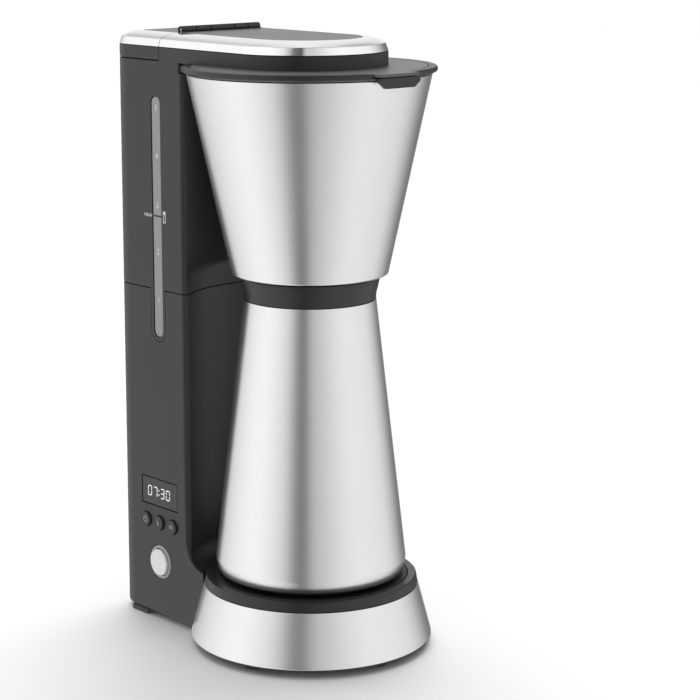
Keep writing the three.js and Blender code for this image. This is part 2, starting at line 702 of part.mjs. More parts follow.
// ---- Round base ----
function baseSkirt() {
  const foot = FLOOR_GAP + 1.5;
  const widest = foot + SKIRT_EDGE;
  const inner = skirtRadius(skirtTop) - STEEL;
  const outline = [
    [SKIRT_BOTTOM_R - 1.6 - STEEL, foot],
    [SKIRT_BOTTOM_R - 1.4, foot],
    [SKIRT_BOTTOM_R - 0.3, foot + 0.9],
    [skirtRadius(widest), widest],
    [SKIRT_TOP_R, skirtTop],
    [inner - 4, skirtTop],
    [inner - 4, skirtTop - STEEL],
    [inner - 0.2, skirtTop - STEEL],
    [skirtRadius(widest) - STEEL - 0.2, widest],
  ];
  const towerSide = box(-FAR, 0, -HALF_WIDTH - GAP, HALF_WIDTH + GAP, 0, FAR);
  return cut(revolve(outline), towerSide);
}

function baseRing() {
  const low = skirtTop + GAP;
  const outline = [
    [RING_TOP_R - RING_WIDTH, low],
    [SKIRT_TOP_R - 0.1, low],
    [RING_TOP_R, platformTop - 0.6],
    [RING_TOP_R - 0.6, platformTop],
    [RING_TOP_R - RING_WIDTH, platformTop],
  ];
  return revolve(outline);
}

// The disc that the carafe stands on, with a turned-down edge that rests on the skirt's flange.
function carafePlatform() {
  const edge = RING_TOP_R - RING_WIDTH - GAP;
  const low = skirtTop + GAP;
  const outline = [[0, platformTop - 2.2], [edge - 2.2, platformTop - 2.2], [edge - 2.2, low], [edge, low],
    [edge, platformTop - 0.3], [edge - 0.3, platformTop], [0, platformTop]];
  return revolve(outline);
}

function basePan() {
  const top = FLOOR_GAP + PAN_THICK;
  const plate = join(
    prism(towerOutline(WALL + GAP), FLOOR_GAP, top),
    box(-TOWER_FRONT - 8, -SKIRT_TOP_R / 2, -wallInside + GAP, wallInside - GAP, FLOOR_GAP, top),
    post(SKIRT_BOTTOM_R - 2 - STEEL, FLOOR_GAP, top, 0, 0, ROUND),
  );
  return cut(plate, ...SCREW_SPOTS.map(([x, y]) => post(SCREW_R + 0.4, 0, top + 1, x, y, 12)));
}

// Cross-recess screw driven up through the pan.
function baseScrew([x, y]) {
  const headTop = FLOOR_GAP - GAP;
  const screw = join(
    post(3.1, headTop - 1.6, headTop, x, y, 12),
    post(SCREW_R, headTop - 0.5, FLOOR_GAP + 9, x, y, 10),
  );
  const slots = [box(x - 1.8, x + 1.8, y - 0.4, y + 0.4, 0, headTop - 0.8),
    box(x - 0.4, x + 0.4, y - 1.8, y + 1.8, 0, headTop - 0.8)];
  return cut(screw, ...slots);
}

function frontFoot(angle) {
  const turn = THREE.MathUtils.degToRad(angle);
  const top = FLOOR_GAP - GAP;
  const outline = [[0, 0], [6.5, 0], [7.5, 0.8], [7.5, top], [0, top]];
  return revolve(outline, SMALL, FOOT_RING * Math.cos(turn), FOOT_RING * Math.sin(turn));
}

// Pad under the tower's side wall, flush with it.
function rearFoot(side) {
  const outer = side * HALF_WIDTH;
  const inner = side * (HALF_WIDTH - 12);
  return box(-107, -92.3, Math.min(outer, inner), Math.max(outer, inner), 0, FLOOR_GAP - GAP);
}

// ---- Carafe ----
function carafeShell() {
  const widest = shellBottom + 5.5;
  const t = CARAFE_WALL;
  const outline = [
    [0, shellBottom],
    [CARAFE_EDGE_R, shellBottom],
    [CARAFE_EDGE_R + 2.8, shellBottom + 1.6],
    [CARAFE_R, widest - 0.7],
    [CARAFE_R, widest],
    [CARAFE_NECK_R, shellTop],
    [CARAFE_NECK_R - t, shellTop],
    [CARAFE_R - t, widest],
    [CARAFE_EDGE_R + 2, shellBottom + 2.4],
    [CARAFE_EDGE_R - 0.5, shellBottom + t],
    [0, shellBottom + t],
  ];
  return revolve(outline);
}

function carafeLiner() {
  const low = shellBottom + VACUUM_GAP + 2;
  const top = shellTop - 6;
  const t = CARAFE_WALL;
  const outside = (z) => carafeRadius(z) - t - VACUUM_GAP;
  const outline = [
    [0, low],
    [outside(low) - 8, low],
    [outside(low + 6), low + 6],
    [outside(top), top],
    [outside(top) - t, top],
    [outside(low + 7) - t, low + 7],
    [outside(low) - 8, low + t],
    [0, low + t],
  ];
  return revolve(outline);
}

// Threaded ring that closes the gap between the two steel walls at the mouth.
function carafeNeckRing() {
  const top = shellTop - 0.5;
  const low = top - 5;
  const inner = carafeRadius(top) - CARAFE_WALL - VACUUM_GAP - CARAFE_WALL;
  const outline = [[inner, low], [carafeRadius(top) - CARAFE_WALL - 0.4, low],
    [carafeRadius(top) - CARAFE_WALL - 0.4, top], [inner, top]];
  return revolve(outline);
}

function carafeBaseRing() {
  const top = shellBottom - GAP;
  const outline = [[CARAFE_RING_R - 8, carafeBottom], [CARAFE_RING_R - 0.6, carafeBottom],
    [CARAFE_RING_R, carafeBottom + 0.6], [CARAFE_RING_R, top], [CARAFE_RING_R - 8, top]];
  return revolve(outline);
}

const plugR = CARAFE_NECK_R - 2 * CARAFE_WALL - VACUUM_GAP - 1.2;

// Brew-through lid: a wide collar, a plug in the neck, and a cross that lifts the filter's valve.
function carafeLid() {
  const low = shellTop + GAP;
  const outline = [
    [LID_HOLE_R, low - 11],
    [plugR - 1, low - 11],
    [plugR, low - 10],
    [plugR, low - 0.5],
    [plugR + 1, low],
    [CARAFE_NECK_R - 0.2, low],
    [CARAFE_NECK_R + 0.1, low + 4],
    [LID_TOP_R - 0.9, low + 8],
    [LID_TOP_R, low + 10.5],
    [LID_TOP_R, lidTop - 0.8],
    [LID_TOP_R - 0.8, lidTop],
    [LID_TOP_R - 5, lidTop],
    [LID_TOP_R - 7, lidTop - 2.5],
    [LID_HOLE_R + 1.5, lidTop - 4],
    [LID_HOLE_R, lidTop - 4.5],
  ];
  const bar = [LID_HOLE_R + 3, 1];
  const cross = join(
    box(-bar[0], bar[0], -bar[1], bar[1], lidTop - 7, lidTop),
    box(-bar[1], bar[1], -bar[0], bar[0], lidTop - 7, lidTop),
  );
  const [deep, clear] = [plugR - 1.2, plugR + 1];
  const groove = [[deep, low - 8], [clear, low - 8], [clear, low - 5.6], [deep, low - 5.6]];
  return cut(join(revolve(outline), cross), revolve(groove));
}

function lidGasket() {
  const low = shellTop + GAP - 7.8;
  const outline = [[plugR - 1, low], [plugR + 0.5, low], [plugR + 0.8, low + 1], [plugR + 0.5, low + 2],
    [plugR - 1, low + 2]];
  return revolve(outline);
}

// ---- Funnel filter ----
function funnelShell() {
  const t = STEEL;
  const edge = FUNNEL_EDGE;
  const bend = funnelBottom + edge;
  const inner = FUNNEL_BOTTOM_R - 4.4;
  const centre = funnelRadius(bend) - edge;
  const outline = [
    [inner, funnelBottom],
    ...arc(centre, bend, edge, -90, 0, 3),
    [FUNNEL_TOP_R, rimBottom],
    [FUNNEL_TOP_R - t, rimBottom],
    [funnelRadius(bend) - t, bend],
    [centre, funnelBottom + t],
    [inner, funnelBottom + t],
  ];
  return revolve(outline);
}

const basketFloor = funnelBottom + BASKET_FLOOR_H;
const lidSeat = rimTop - FILTER_LID_THICK - GAP;

function basketRadius(z) {
  const top = lidSeatR - 4.2;
  return BASKET_FLOOR_R + (top - BASKET_FLOOR_R) * (z - basketFloor) / (rimBottom - basketFloor);
}

// Cone that holds the paper filter, with the bore of the drip valve in its floor.
function filterBasket() {
  const low = rimBottom + GAP;
  const t = BASKET_WALL;
  const tube = VALVE_FOOT_R + 1;
  const bore = VALVE_STEM_R + 2.5;
  const flange = FUNNEL_BOTTOM_R - 4.4 - GAP;
  const outline = [
    [tube, funnelBottom],
    [flange, funnelBottom],
    [flange, funnelBottom + 1.6],
    [tube + t, funnelBottom + 1.6],
    [tube + t, basketFloor - t],
    [BASKET_FLOOR_R, basketFloor - t],
    [basketRadius(low), low],
    [basketRadius(low), lidSeat],
    [basketRadius(low) - t, lidSeat],
    [BASKET_FLOOR_R - 1.5, basketFloor],
    [bore, basketFloor],
    [bore, basketFloor - t],
    [tube, basketFloor - t],
  ];
  return revolve(outline);
}

// Rim that the machine's ledge carries, with a seat for the filter lid and a grip flap at the front.
function filterRim() {
  const low = rimBottom + GAP;
  const inner = basketRadius(low) + GAP;
  const outline = [
    [inner, low],
    [FUNNEL_TOP_R + 0.3, low],
    [rimR, rimBottom + RIM_BEVEL],
    [rimR, rimTop - 0.5],
    [rimR - 0.5, rimTop],
    [lidSeatR, rimTop],
    [lidSeatR, lidSeat],
    [inner, lidSeat],
  ];
  const half = TONGUE_WIDTH / 2;
  const notch = box(lidSeatR - 4, FAR, -half - GAP, half + GAP, rimTop - TONGUE_THICK - GAP, FAR);
  return join(cut(revolve(outline), notch), gripFlap());
}

function gripFlap() {
  const half = TONGUE_WIDTH / 2;
  const top = rimTop - TONGUE_THICK - 0.8;
  const low = rimBottom + RIM_BEVEL - FLAP_DROP;
  const face = new THREE.Shape();
  face.moveTo(-half, top).lineTo(-half, top - 2).lineTo(-half + 2, low + 1.4).lineTo(-half + 3.4, low);
  face.lineTo(half - 3.4, low).lineTo(half - 2, low + 1.4).lineTo(half, top - 2).lineTo(half, top);
  const settings = { depth: 2, bevelEnabled: false };
  const plate = new THREE.ExtrudeGeometry(face, settings).rotateX(Math.PI / 2).rotateZ(Math.PI / 2);
  const outer = rimR + TONGUE_REACH - 0.6;
  const shelf = box(rimR - 2.5, outer - 0.5, -half, half, top - 1.8, top);
  return join(toSolid(plate.translate(outer - 2, 0, 0)), shelf);
}

function filterLid() {
  const half = TONGUE_WIDTH / 2;
  const tip = rimR + TONGUE_REACH;
  const disc = post(lidSeatR - GAP, rimTop - FILTER_LID_THICK, rimTop, 0, 0, ROUND);
  const tongue = new THREE.Shape();
  tongue.moveTo(lidSeatR - 8, -half).lineTo(tip - 1.5, -half);
  tongue.quadraticCurveTo(tip - 0.5, -half, tip - 0.4, -half + 2);
  tongue.quadraticCurveTo(tip + 0.4, 0, tip - 0.4, half - 2);
  tongue.quadraticCurveTo(tip - 0.5, half, tip - 1.5, half).lineTo(lidSeatR - 8, half);
  const lid = join(disc, prism(tongue, rimTop - TONGUE_THICK, rimTop, 4));
  return cut(lid, post(OUTLET_R + 2, 0, FAR, 0, 0, 24));
}

// Drip stop: foot, stem and head in one piece; the foot is pushed up by the carafe lid.
const footBottom = lidTop + GAP;

function dripValve() {
  const footTop = footBottom + 2;
  const head = basketFloor + VALVE_SEAL + GAP;
  const outline = [[0, footBottom], [VALVE_FOOT_R - 1, footBottom], [VALVE_FOOT_R, footBottom + 1],
    [VALVE_FOOT_R, footTop], [VALVE_STEM_R, footTop], [VALVE_STEM_R, head], [7.5, head], [6.5, head + 2.5],
    [0, head + 3.5]];
  return revolve(outline, 24);
}

function valveSeal() {
  const low = basketFloor + 0.15;
  const [inner, outer] = [VALVE_STEM_R + 0.15, 6.8];
  return revolve([[inner, low], [outer, low], [outer, low + VALVE_SEAL], [inner, low + VALVE_SEAL]], 24);
}

class Helix extends THREE.Curve {
  constructor(radius, low, high, turns) {
    super();
    Object.assign(this, { radius, low, high, turns });
  }

  getPoint(t, target = new THREE.Vector3()) {
    const angle = 2 * Math.PI * this.turns * t;
    const z = this.low + (this.high - this.low) * t;
    return target.set(this.radius * Math.cos(angle), this.radius * Math.sin(angle), z);
  }
}

function valveSpring() {
  const wire = 0.35;
  const low = footBottom + 2 + wire + 0.15;
  const high = basketFloor - BASKET_WALL - wire - 0.15;
  const section = new THREE.Shape().absarc(0, 0, wire, 0, 2 * Math.PI);
  const extrudePath = new Helix(6.6, low, high, 3);
  return toSolid(new THREE.ExtrudeGeometry(section, { extrudePath, steps: 36, curveSegments: 3 }));
}

// ---- Materials ----
function finish(color, roughness, metalness = 0, opacity = 1) {
  return new THREE.MeshStandardMaterial({ color, roughness, metalness, opacity, transparent: opacity < 1 });
}

const plastic = finish(0x38393b, 0.5);
const darkPlastic = finish(0x2c2d2f, 0.42);
const steel = finish(0xc9cacb, 0.3, 1);
const chrome = finish(0xe4e6e8, 0.06, 1);
const satinPanel = finish(0x3a3b3d, 0.35);
const clearPlastic = finish(0xb9bdc0, 0.25, 0, 0.55);
const tankPlastic = finish(0xc8ccce, 0.3, 0, 0.5);
const lens = finish(0x17181a, 0.1);
const silver = finish(0xd9dadb, 0.3, 0.6);
const rubber = finish(0x1c1c1d, 0.8);
const silicone = finish(0xd8d6cf, 0.6);
const aluminium = finish(0xa9abad, 0.45, 1);
const board = finish(0x1f5a3a, 0.5);
const zinc = finish(0x9a9c9e, 0.35, 1);

// ---- Assembly ----
const machine = new THREE.Group();

function add(name, solid, material) {
  const mesh = new THREE.Mesh(toGeometry(solid), material);
  mesh.name = name;
  machine.add(mesh);
}

add('lower_housing', lowerHousing(), plastic);
add('upper_housing', upperHousing(), plastic);
add('gauge_window', gaugeWindow(), clearPlastic);
add('tank_shelf', tankShelf(), darkPlastic);
add('water_tank', waterTank(), tankPlastic);
add('outlet_grommet', outletGrommet(), silicone);
add('check_valve', checkValve(), darkPlastic);
add('tank_hose', tankHose(), silicone);
add('flow_heater', flowHeater(), aluminium);
add('heater_bracket', heaterBracket(), zinc);
add('thermostat', thermostat(), zinc);
add('thermal_fuse', thermalFuse(), zinc);
add('riser_pipe', riserPipe(), silicone);
add('water_outlet', waterOutlet(), darkPlastic);
add('display_window', displayWindow(), lens);
add('display_module', displayModule(), darkPlastic);
add('control_board', controlBoard(), board);
['clock_key', 'hour_key', 'minute_key'].forEach((name, i) => {
  add(name, pushKey(keyCentres[i], KEY_Z, KEY_R, KEY_PROUD), plastic);
});
add('power_key', pushKey(CONTROL_X, POWER_Z, POWER_R, POWER_PROUD), silver);
add('power_key_ring', powerRing(), chrome);
add('cable_gland', cableGland(), rubber);
add('head_trim', chromeTrim().intersect(aheadOfSeam), chrome);
add('head_panel', topPanel(), satinPanel);
add('hinge_pin', hingePin(), zinc);
add('tank_lid_body', tankLidBody(), plastic);
add('tank_lid_trim', chromeTrim().intersect(behindSeam), chrome);
add('tank_lid_panel', lidPanel(), satinPanel);
add('base_pan', basePan(), darkPlastic);
add('base_skirt', baseSkirt(), steel);
add('base_ring', baseRing(), darkPlastic);
add('carafe_platform', carafePlatform(), darkPlastic);
SCREW_SPOTS.forEach((spot, i) => add(`base_screw_${i + 1}`, baseScrew(spot), zinc));
FOOT_ANGLES.forEach((angle, i) => add(`front_foot_${i + 1}`, frontFoot(angle), rubber));
add('rear_foot_1', rearFoot(-1), rubber);
add('rear_foot_2', rearFoot(1), rubber);
add('carafe_shell', carafeShell(), steel);
add('carafe_liner', carafeLiner(), steel);
add('carafe_neck_ring', carafeNeckRing(), darkPlastic);
add('carafe_base_ring', carafeBaseRing(), darkPlastic);
add('carafe_lid', carafeLid(), darkPlastic);
add('carafe_lid_gasket', lidGasket(), silicone);
add('funnel_shell', funnelShell(), steel);
add('filter_basket', filterBasket(), darkPlastic);
add('filter_rim', filterRim(), darkPlastic);
add('filter_lid', filterLid(), satinPanel);
add('drip_valve', dripValve(), darkPlastic);
add('valve_seal', valveSeal(), silicone);
add('valve_spring', valveSpring(), zinc);

// The rear face and the tip of the filter lid's tongue end the machine along X.
machine.position.x = (TOWER_REAR - rimR - TONGUE_REACH) / 2;
machine.updateMatrixWorld(true);

export default machine;
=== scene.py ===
"""Looks for the drip coffee maker: a slim tower, a steel funnel filter, a steel carafe and a round steel base."""

import logging
import math
from dataclasses import dataclass, field
from enum import Enum
from typing import Callable, Sequence, Union

import bmesh
import bpy
from mathutils import Matrix, Vector


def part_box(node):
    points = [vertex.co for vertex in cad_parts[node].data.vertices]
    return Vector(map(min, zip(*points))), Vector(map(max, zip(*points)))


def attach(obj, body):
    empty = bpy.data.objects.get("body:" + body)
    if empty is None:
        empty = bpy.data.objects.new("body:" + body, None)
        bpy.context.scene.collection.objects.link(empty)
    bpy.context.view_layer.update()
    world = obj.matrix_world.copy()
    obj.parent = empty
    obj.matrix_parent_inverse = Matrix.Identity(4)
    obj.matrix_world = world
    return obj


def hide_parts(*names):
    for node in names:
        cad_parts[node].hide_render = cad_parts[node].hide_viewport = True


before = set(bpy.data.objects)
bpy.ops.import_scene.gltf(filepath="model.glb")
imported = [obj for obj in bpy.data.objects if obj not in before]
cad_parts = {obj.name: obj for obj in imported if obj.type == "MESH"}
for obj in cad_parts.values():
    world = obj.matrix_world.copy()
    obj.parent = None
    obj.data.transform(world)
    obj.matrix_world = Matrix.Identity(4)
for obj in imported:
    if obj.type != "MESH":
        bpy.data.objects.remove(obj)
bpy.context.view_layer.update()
log = logging.getLogger("coffee_maker")

MM = 0.001
GAP = 0.3  # between neighbouring pieces, in millimetres
SMOOTH_ANGLE = math.radians(34)  # sharper edges stay crisp
PRINT_DEPTH = 0.06  # of a printed mark, in millimetres
SLACK = 1e-7  # two points closer than this, in metres, are one
Point2 = tuple[float, float]
Point3 = tuple[float, float, float]
Corner = tuple[float, float, float]
Ring = list[Point3]


# ---------------------------------------------------------------- places


@dataclass(frozen=True)
class Span:
    """A CAD node's extent in millimetres, counted from the brew axis."""

    left: float
    right: float
    front: float
    back: float
    low: float
    high: float

    @property
    def x(self) -> float:
        """Its middle along X."""
        return (self.left + self.right) / 2

    @property
    def y(self) -> float:
        """Its middle along Y."""
        return (self.front + self.back) / 2

    @property
    def z(self) -> float:
        """Its middle in height."""
        return (self.low + self.high) / 2

    @property
    def radius(self) -> float:
        """Half its width along X."""
        return (self.right - self.left) / 2


def brew_axis() -> float:
    """The brew axis's place along X in metres."""
    low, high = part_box("funnel_shell")
    return (low.x + high.x) / 2


AXIS = brew_axis()


def span(node: str) -> Span:
    """Reads where a CAD node is.

    Args:
        node: the CAD node's name.

    Returns:
        Its extent in millimetres from the brew axis and the table.
    """
    low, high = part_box(node)
    return Span((low.x - AXIS) / MM, (high.x - AXIS) / MM, low.y / MM, high.y / MM, low.z / MM, high.z / MM)


# ---------------------------------------------------------------- shader sheets

Mixable = Union["Link", float, int]
Wire = Union["Link", float, int, str, Sequence[float]]


def operator(operation: str, number_first: bool = False) -> Callable[["Link", Mixable], "Link"]:
    """Makes an operator of Link.

    Args:
        operation: the Math node's operation.
        number_first: whether the other value stands on the left.

    Returns:
        The operator.
    """
    def apply(link: "Link", other: Mixable) -> "Link":
        """Adds a Math node with both values."""
        first, second = (other, link) if number_first else (link, other)
        return link.sheet.node("ShaderNodeMath", {"operation": operation}, {0: first, 1: second})

    return apply


class Link:
    """A node socket's value that Python's operators work on."""

    def __init__(self, sheet: "NodeSheet", socket: bpy.types.NodeSocket) -> None:
        """Keeps the sheet and the socket."""
        self.sheet = sheet
        self.socket = socket

    __add__, __radd__ = operator("ADD"), operator("ADD", True)
    __sub__, __rsub__ = operator("SUBTRACT"), operator("SUBTRACT", True)
    __mul__, __rmul__ = operator("MULTIPLY"), operator("MULTIPLY", True)

    def clamped(self) -> "Link":
        """The value held between 0 and 1."""
        return self.sheet.node("ShaderNodeClamp", {}, {"Value": self})


class NodeSheet:
    """A node tree that is filled one node at a time."""

    def __init__(self, tree: bpy.types.NodeTree) -> None:
        """Empties the tree that is to be filled."""
        self.tree = tree
        tree.nodes.clear()

    def node(
        self,
        kind: str,
        settings: dict[str, object] | None = None,
        inputs: dict[int | str, Wire] | None = None,
        output: int | str = 0,
    ) -> Link:
        """Adds a node.

        Args:
            kind: the node's type.
            settings: its own settings, set first; "stops" fills a ramp.
            inputs: values or links for its sockets.
            output: the socket to hand on.

        Returns:
            A link to that output.
        """
        made = self.tree.nodes.new(kind)
        for name, value in (settings or {}).items():
            if name == "stops":
                self._fill_ramp(made.color_ramp, value)
            else:
                setattr(made, name, value)
        for key, value in (inputs or {}).items():
            if isinstance(value, Link):
                self.tree.links.new(value.socket, made.inputs[key])
            else:
                made.inputs[key].default_value = value
        return Link(self, made.outputs[output]) if made.outputs else Link(self, None)

    @staticmethod
    def _fill_ramp(ramp: bpy.types.ColorRamp, stops: Sequence[tuple[float, Sequence[float]]]) -> None:
        """Sets a ramp's stops, which are pairs of place and colour."""
        while len(ramp.elements) < len(stops):
            ramp.elements.new(0.5)
        for element, (place, colour) in zip(ramp.elements, stops):
            element.position = place
            element.color = (*colour, 1.0)

    def place(self) -> Link:
        """The surface point in metres."""
        return self.node("ShaderNodeTexCoord", output="Object")

    def stretched(self, scale: Point3) -> Link:
        """The surface point with so many pattern cells in a metre along each axis."""
        return self.node("ShaderNodeMapping", {}, {"Vector": self.place(), "Scale": scale})

    def noise(self, scale: float | Point3, detail: float = 2.0, roughness: float = 0.5) -> Link:
        """A noise value near 0.5.

        Args:
            scale: cells in a metre, one number or one for each axis.
            detail: how many finer layers it has.
            roughness: how strong they are.

        Returns:
            The noise.
        """
        if isinstance(scale, tuple):
            where, size = self.stretched(scale), 1.0
        else:
            where, size = self.place(), scale
        inputs = {"Vector": where, "Scale": size, "Detail": detail, "Roughness": roughness}
        return self.node("ShaderNodeTexNoise", {}, inputs)

    def shaded(self, colour: Point3, amount: Link) -> Link:
        """A colour made lighter or darker by a factor near 1."""
        return self.node("ShaderNodeVectorMath", {"operation": "SCALE"}, {0: colour, "Scale": amount})

    def between(self, factor: Link, first: Wire, second: Wire) -> Link:
        """Mixes two colours: factor 0 gives the first and 1 the second."""
        settings = {"data_type": "RGBA", "clamp_factor": True}
        return self.node("ShaderNodeMix", settings, {0: factor, 6: first, 7: second}, 2)

    def bump(self, height: Link, depth: float, strength: float = 1.0) -> Link:
        """A normal from a height between 0 and 1, whose depth is in metres."""
        inputs = {"Height": height, "Distance": depth, "Strength": strength}
        return self.node("ShaderNodeBump", {}, inputs)


# ---------------------------------------------------------------- finishes


@dataclass(frozen=True)
class Texture:
    """A noise, and how much it lightens the colour and dulls the gloss."""

    scale: float | Point3
    detail: float
    tint: float = 0.0
    dulling: float = 0.0
    fineness: float = 0.5


@dataclass(frozen=True)
class Finish:
    """A material made of noises, whose first noise is also its relief."""

    name: str
    slot: str
    colour: Point3 = (0.8, 0.8, 0.8)
    roughness: float = 0.5
    tint: float = 1.0
    textures: tuple[Texture, ...] = ()
    depth: float = 0.00001
    relief: float = 0.2
    fixed: tuple[tuple[str, float], ...] = ()

    def surface(self, sheet: NodeSheet) -> dict[str, Wire]:
        """The shader's sockets that this finish sets.

        Args:
            sheet: where its nodes go.

        Returns:
            Socket names with their values or links.
        """
        noises = [sheet.noise(t.scale, t.detail, t.fineness) for t in self.textures]
        shade: Mixable = self.tint
        gloss: Mixable = self.roughness
        for texture, noise in zip(self.textures, noises):
            if texture.tint:
                shade = shade + texture.tint * noise
            if texture.dulling:
                gloss = gloss + texture.dulling * noise
        return {
            "Base Color": sheet.shaded(self.colour, shade),
            "Roughness": gloss,
            "Normal": sheet.bump(noises[0], self.depth, self.relief),
            **dict(self.fixed),
        }

    def material(self) -> bpy.types.Material:
        """The Blender material, made once."""
        found = bpy.data.materials.get(self.name)
        if found:
            return found
        made = bpy.data.materials.new(self.name)
        made.use_nodes = True
        sheet = NodeSheet(made.node_tree)
        shader = sheet.node("ShaderNodeBsdfPrincipled", {}, self.surface(sheet))
        sheet.node("ShaderNodeOutputMaterial", {}, {"Surface": shader})
        return made


def moulded(name: str, slot: str, colour: Point3, roughness: float, grain: float = 2600.0,
            depth: float = 0.00004, specular: float = 0.5) -> Finish:
    """Plastic from a spark-eroded mould: a fine grain with slow changes of gloss.

    Args:
        name: the material's name.
        slot: the CAD material it stands for.
        colour: its colour.
        roughness: its mean roughness.
        grain: the grain's cells in a metre.
        depth: the grain's depth in metres.
        specular: how strongly it reflects.

    Returns:
        The finish.
    """
    textures = (Texture(grain, 3.0, 0.06, 0.03, 0.6), Texture(26.0, 3.0, 0.1, 0.08))
    fixed = (("Specular IOR Level", specular),)
    return Finish(name, slot, colour, roughness - 0.04, 0.93, textures, depth, 0.35, fixed)


def silver_paint(name: str, slot: str, colour: Point3) -> Finish:
    """Silver paint: fine flakes in a satin coat."""
    return Finish(name, slot, colour, 0.34, 0.92, (Texture(5200.0, 1.0, 0.14, 0.06),), fixed=(("Metallic", 0.35),))


def clear(name: str, slot: str, colour: Point3, alpha: float, roughness: float) -> Finish:
    """Translucent, cloudy, slightly uneven plastic."""
    textures = (Texture(1800.0, 1.0), Texture(60.0, 3.0, 0.16, 0.08))
    return Finish(name, slot, colour, roughness, 0.92, textures, fixed=(("Alpha", alpha),))


def rubber(name: str, slot: str, colour: Point3 = (0.02, 0.02, 0.021), roughness: float = 0.75) -> Finish:
    """Rubber or silicone with a pitted, slightly dusty skin."""
    textures = (Texture(1500.0, 4.0, 0.0, 0.15, 0.7), Texture(150.0, 3.0, 0.35))
    return Finish(name, slot, colour, roughness, 0.85, textures, 0.00006, 0.5)


def plain_metal(name: str, slot: str, colour: Point3, roughness: float, marks: Point3) -> Finish:
    """Plated or extruded metal with mill marks along one direction."""
    textures = (Texture(marks, 3.0, 0.1), Texture(120.0, 3.0, 0.2, 0.16))
    return Finish(name, slot, colour, roughness, 0.84, textures, 0.00003, 0.4, (("Metallic", 1.0),))


class PolishedChrome(Finish):
    """Mirror plate with faint wiping marks."""

    def surface(self, sheet: NodeSheet) -> dict[str, Wire]:
        """Colour and gloss that change a little with the marks."""
        smear = sheet.noise((60.0, 20.0, 60.0), 4.0)
        return {
            "Base Color": sheet.shaded(self.colour, 0.98 + 0.04 * smear),
            "Metallic": 1.0,
            "Roughness": self.roughness + 0.04 * smear * smear,
        }


class BoardLaminate(Finish):
    """Circuit board with solder resist over copper."""

    def surface(self, sheet: NodeSheet) -> dict[str, Wire]:
        """Green resist with paler tracks."""
        cells = sheet.node("ShaderNodeTexVoronoi", {"distance": "CHEBYCHEV"},
                           {"Vector": sheet.place(), "Scale": 260.0})
        track = (6.0 * cells - 2.2).clamped()
        return {
            "Base Color": sheet.between(track, (0.012, 0.075, 0.035, 1), (0.03, 0.16, 0.07, 1)),
            "Roughness": 0.32 + 0.12 * track,
            "Normal": sheet.bump(track, 0.00004, 0.5),
        }


class Glow(Finish):
    """Lit segments behind the display's lens."""

    def surface(self, sheet: NodeSheet) -> dict[str, Wire]:
        """Even light with a faint grid of the segments' diffuser."""
        weave = sheet.noise(1400.0, 1.0)
        return {
            "Base Color": (0.6, 0.62, 0.65, 1.0),
            "Roughness": 0.4,
            "Emission Color": sheet.shaded(self.colour, 0.88 + 0.2 * weave),
            "Emission Strength": 0.75,
        }


HOUSING = moulded("anthracite housing", "housing_plastic", (0.0188, 0.0192, 0.0198), 0.4)
KEYS = moulded("anthracite keys", "key_plastic", (0.024, 0.0245, 0.0255), 0.38)
BLACK = moulded("black moulding", "black_plastic", (0.015, 0.0155, 0.016), 0.34, depth=0.00002)
BLACK_DULL = moulded("dull black moulding", "black_plastic", (0.012, 0.012, 0.013), 0.5)
PANEL = moulded("satin insert", "satin_panel", (0.105, 0.106, 0.108), 0.4, 3200.0, 0.00001, 0.4)
PRINT = moulded("pale print", "key_plastic", (0.45, 0.46, 0.47), 0.5)
PRINT_WHITE = moulded("white print", "gauge_plastic", (0.78, 0.79, 0.8), 0.5)
STEEL = Finish("brushed steel", "brushed_steel", (0.8, 0.805, 0.81), 0.18, 0.94,
               (Texture((45.0, 45.0, 2600.0), 3.0, 0.05, 0.06, 0.65), Texture((14.0, 14.0, 420.0), 2.0, 0.03),
                Texture(22.0, 2.0, 0.02, 0.05)), relief=0.12, fixed=(("Metallic", 1.0), ("Anisotropic", 0.5)))
CHROME = PolishedChrome("chrome plate", "chrome_trim", (0.93, 0.935, 0.94), 0.035)
SILVER = silver_paint("silver cap", "silver_plastic", (0.8, 0.8, 0.795))
SILVER_RING = silver_paint("silver ring", "chrome_trim", (0.36, 0.36, 0.36))
GAUGE = clear("gauge plastic", "gauge_plastic", (0.3, 0.305, 0.31), 1.0, 0.3)
TANK = clear("tank plastic", "tank_plastic", (0.6, 0.62, 0.63), 0.55, 0.18)
LENS = clear("display lens", "display_lens", (0.022, 0.0225, 0.0235), 1.0, 0.22)
SILICONE = rubber("pale silicone", "silicone", (0.5, 0.49, 0.45), 0.5)
RUBBER = rubber("black rubber", "foot_rubber")
PAD = rubber("grey pad", "foot_rubber", (0.03, 0.031, 0.032), 0.55)
ALUMINIUM = plain_metal("extruded aluminium", "heater_aluminium", (0.6, 0.61, 0.62), 0.4, (40.0, 900.0, 900.0))
ZINC = plain_metal("zinc plate", "zinc_steel", (0.55, 0.56, 0.57), 0.36, (900.0, 900.0, 60.0))
BOARD = BoardLaminate("circuit board", "board_laminate")
FLOOR = Finish("pale floor", "floor", (0.93, 0.93, 0.93), 0.55, 0.99, (Texture(3.0, 2.0, 0.01),), relief=0.0,
               fixed=(("Specular IOR Level", 0.2),))
DIGITS = Glow("lit digits", "display_lens", (0.93, 0.96, 1.0))


# ---------------------------------------------------------------- mesh work


class Ends(Enum):
    """How a stack of rings is closed."""

    CAPPED = "caps"
    RETURNING = "last ring joins the first"


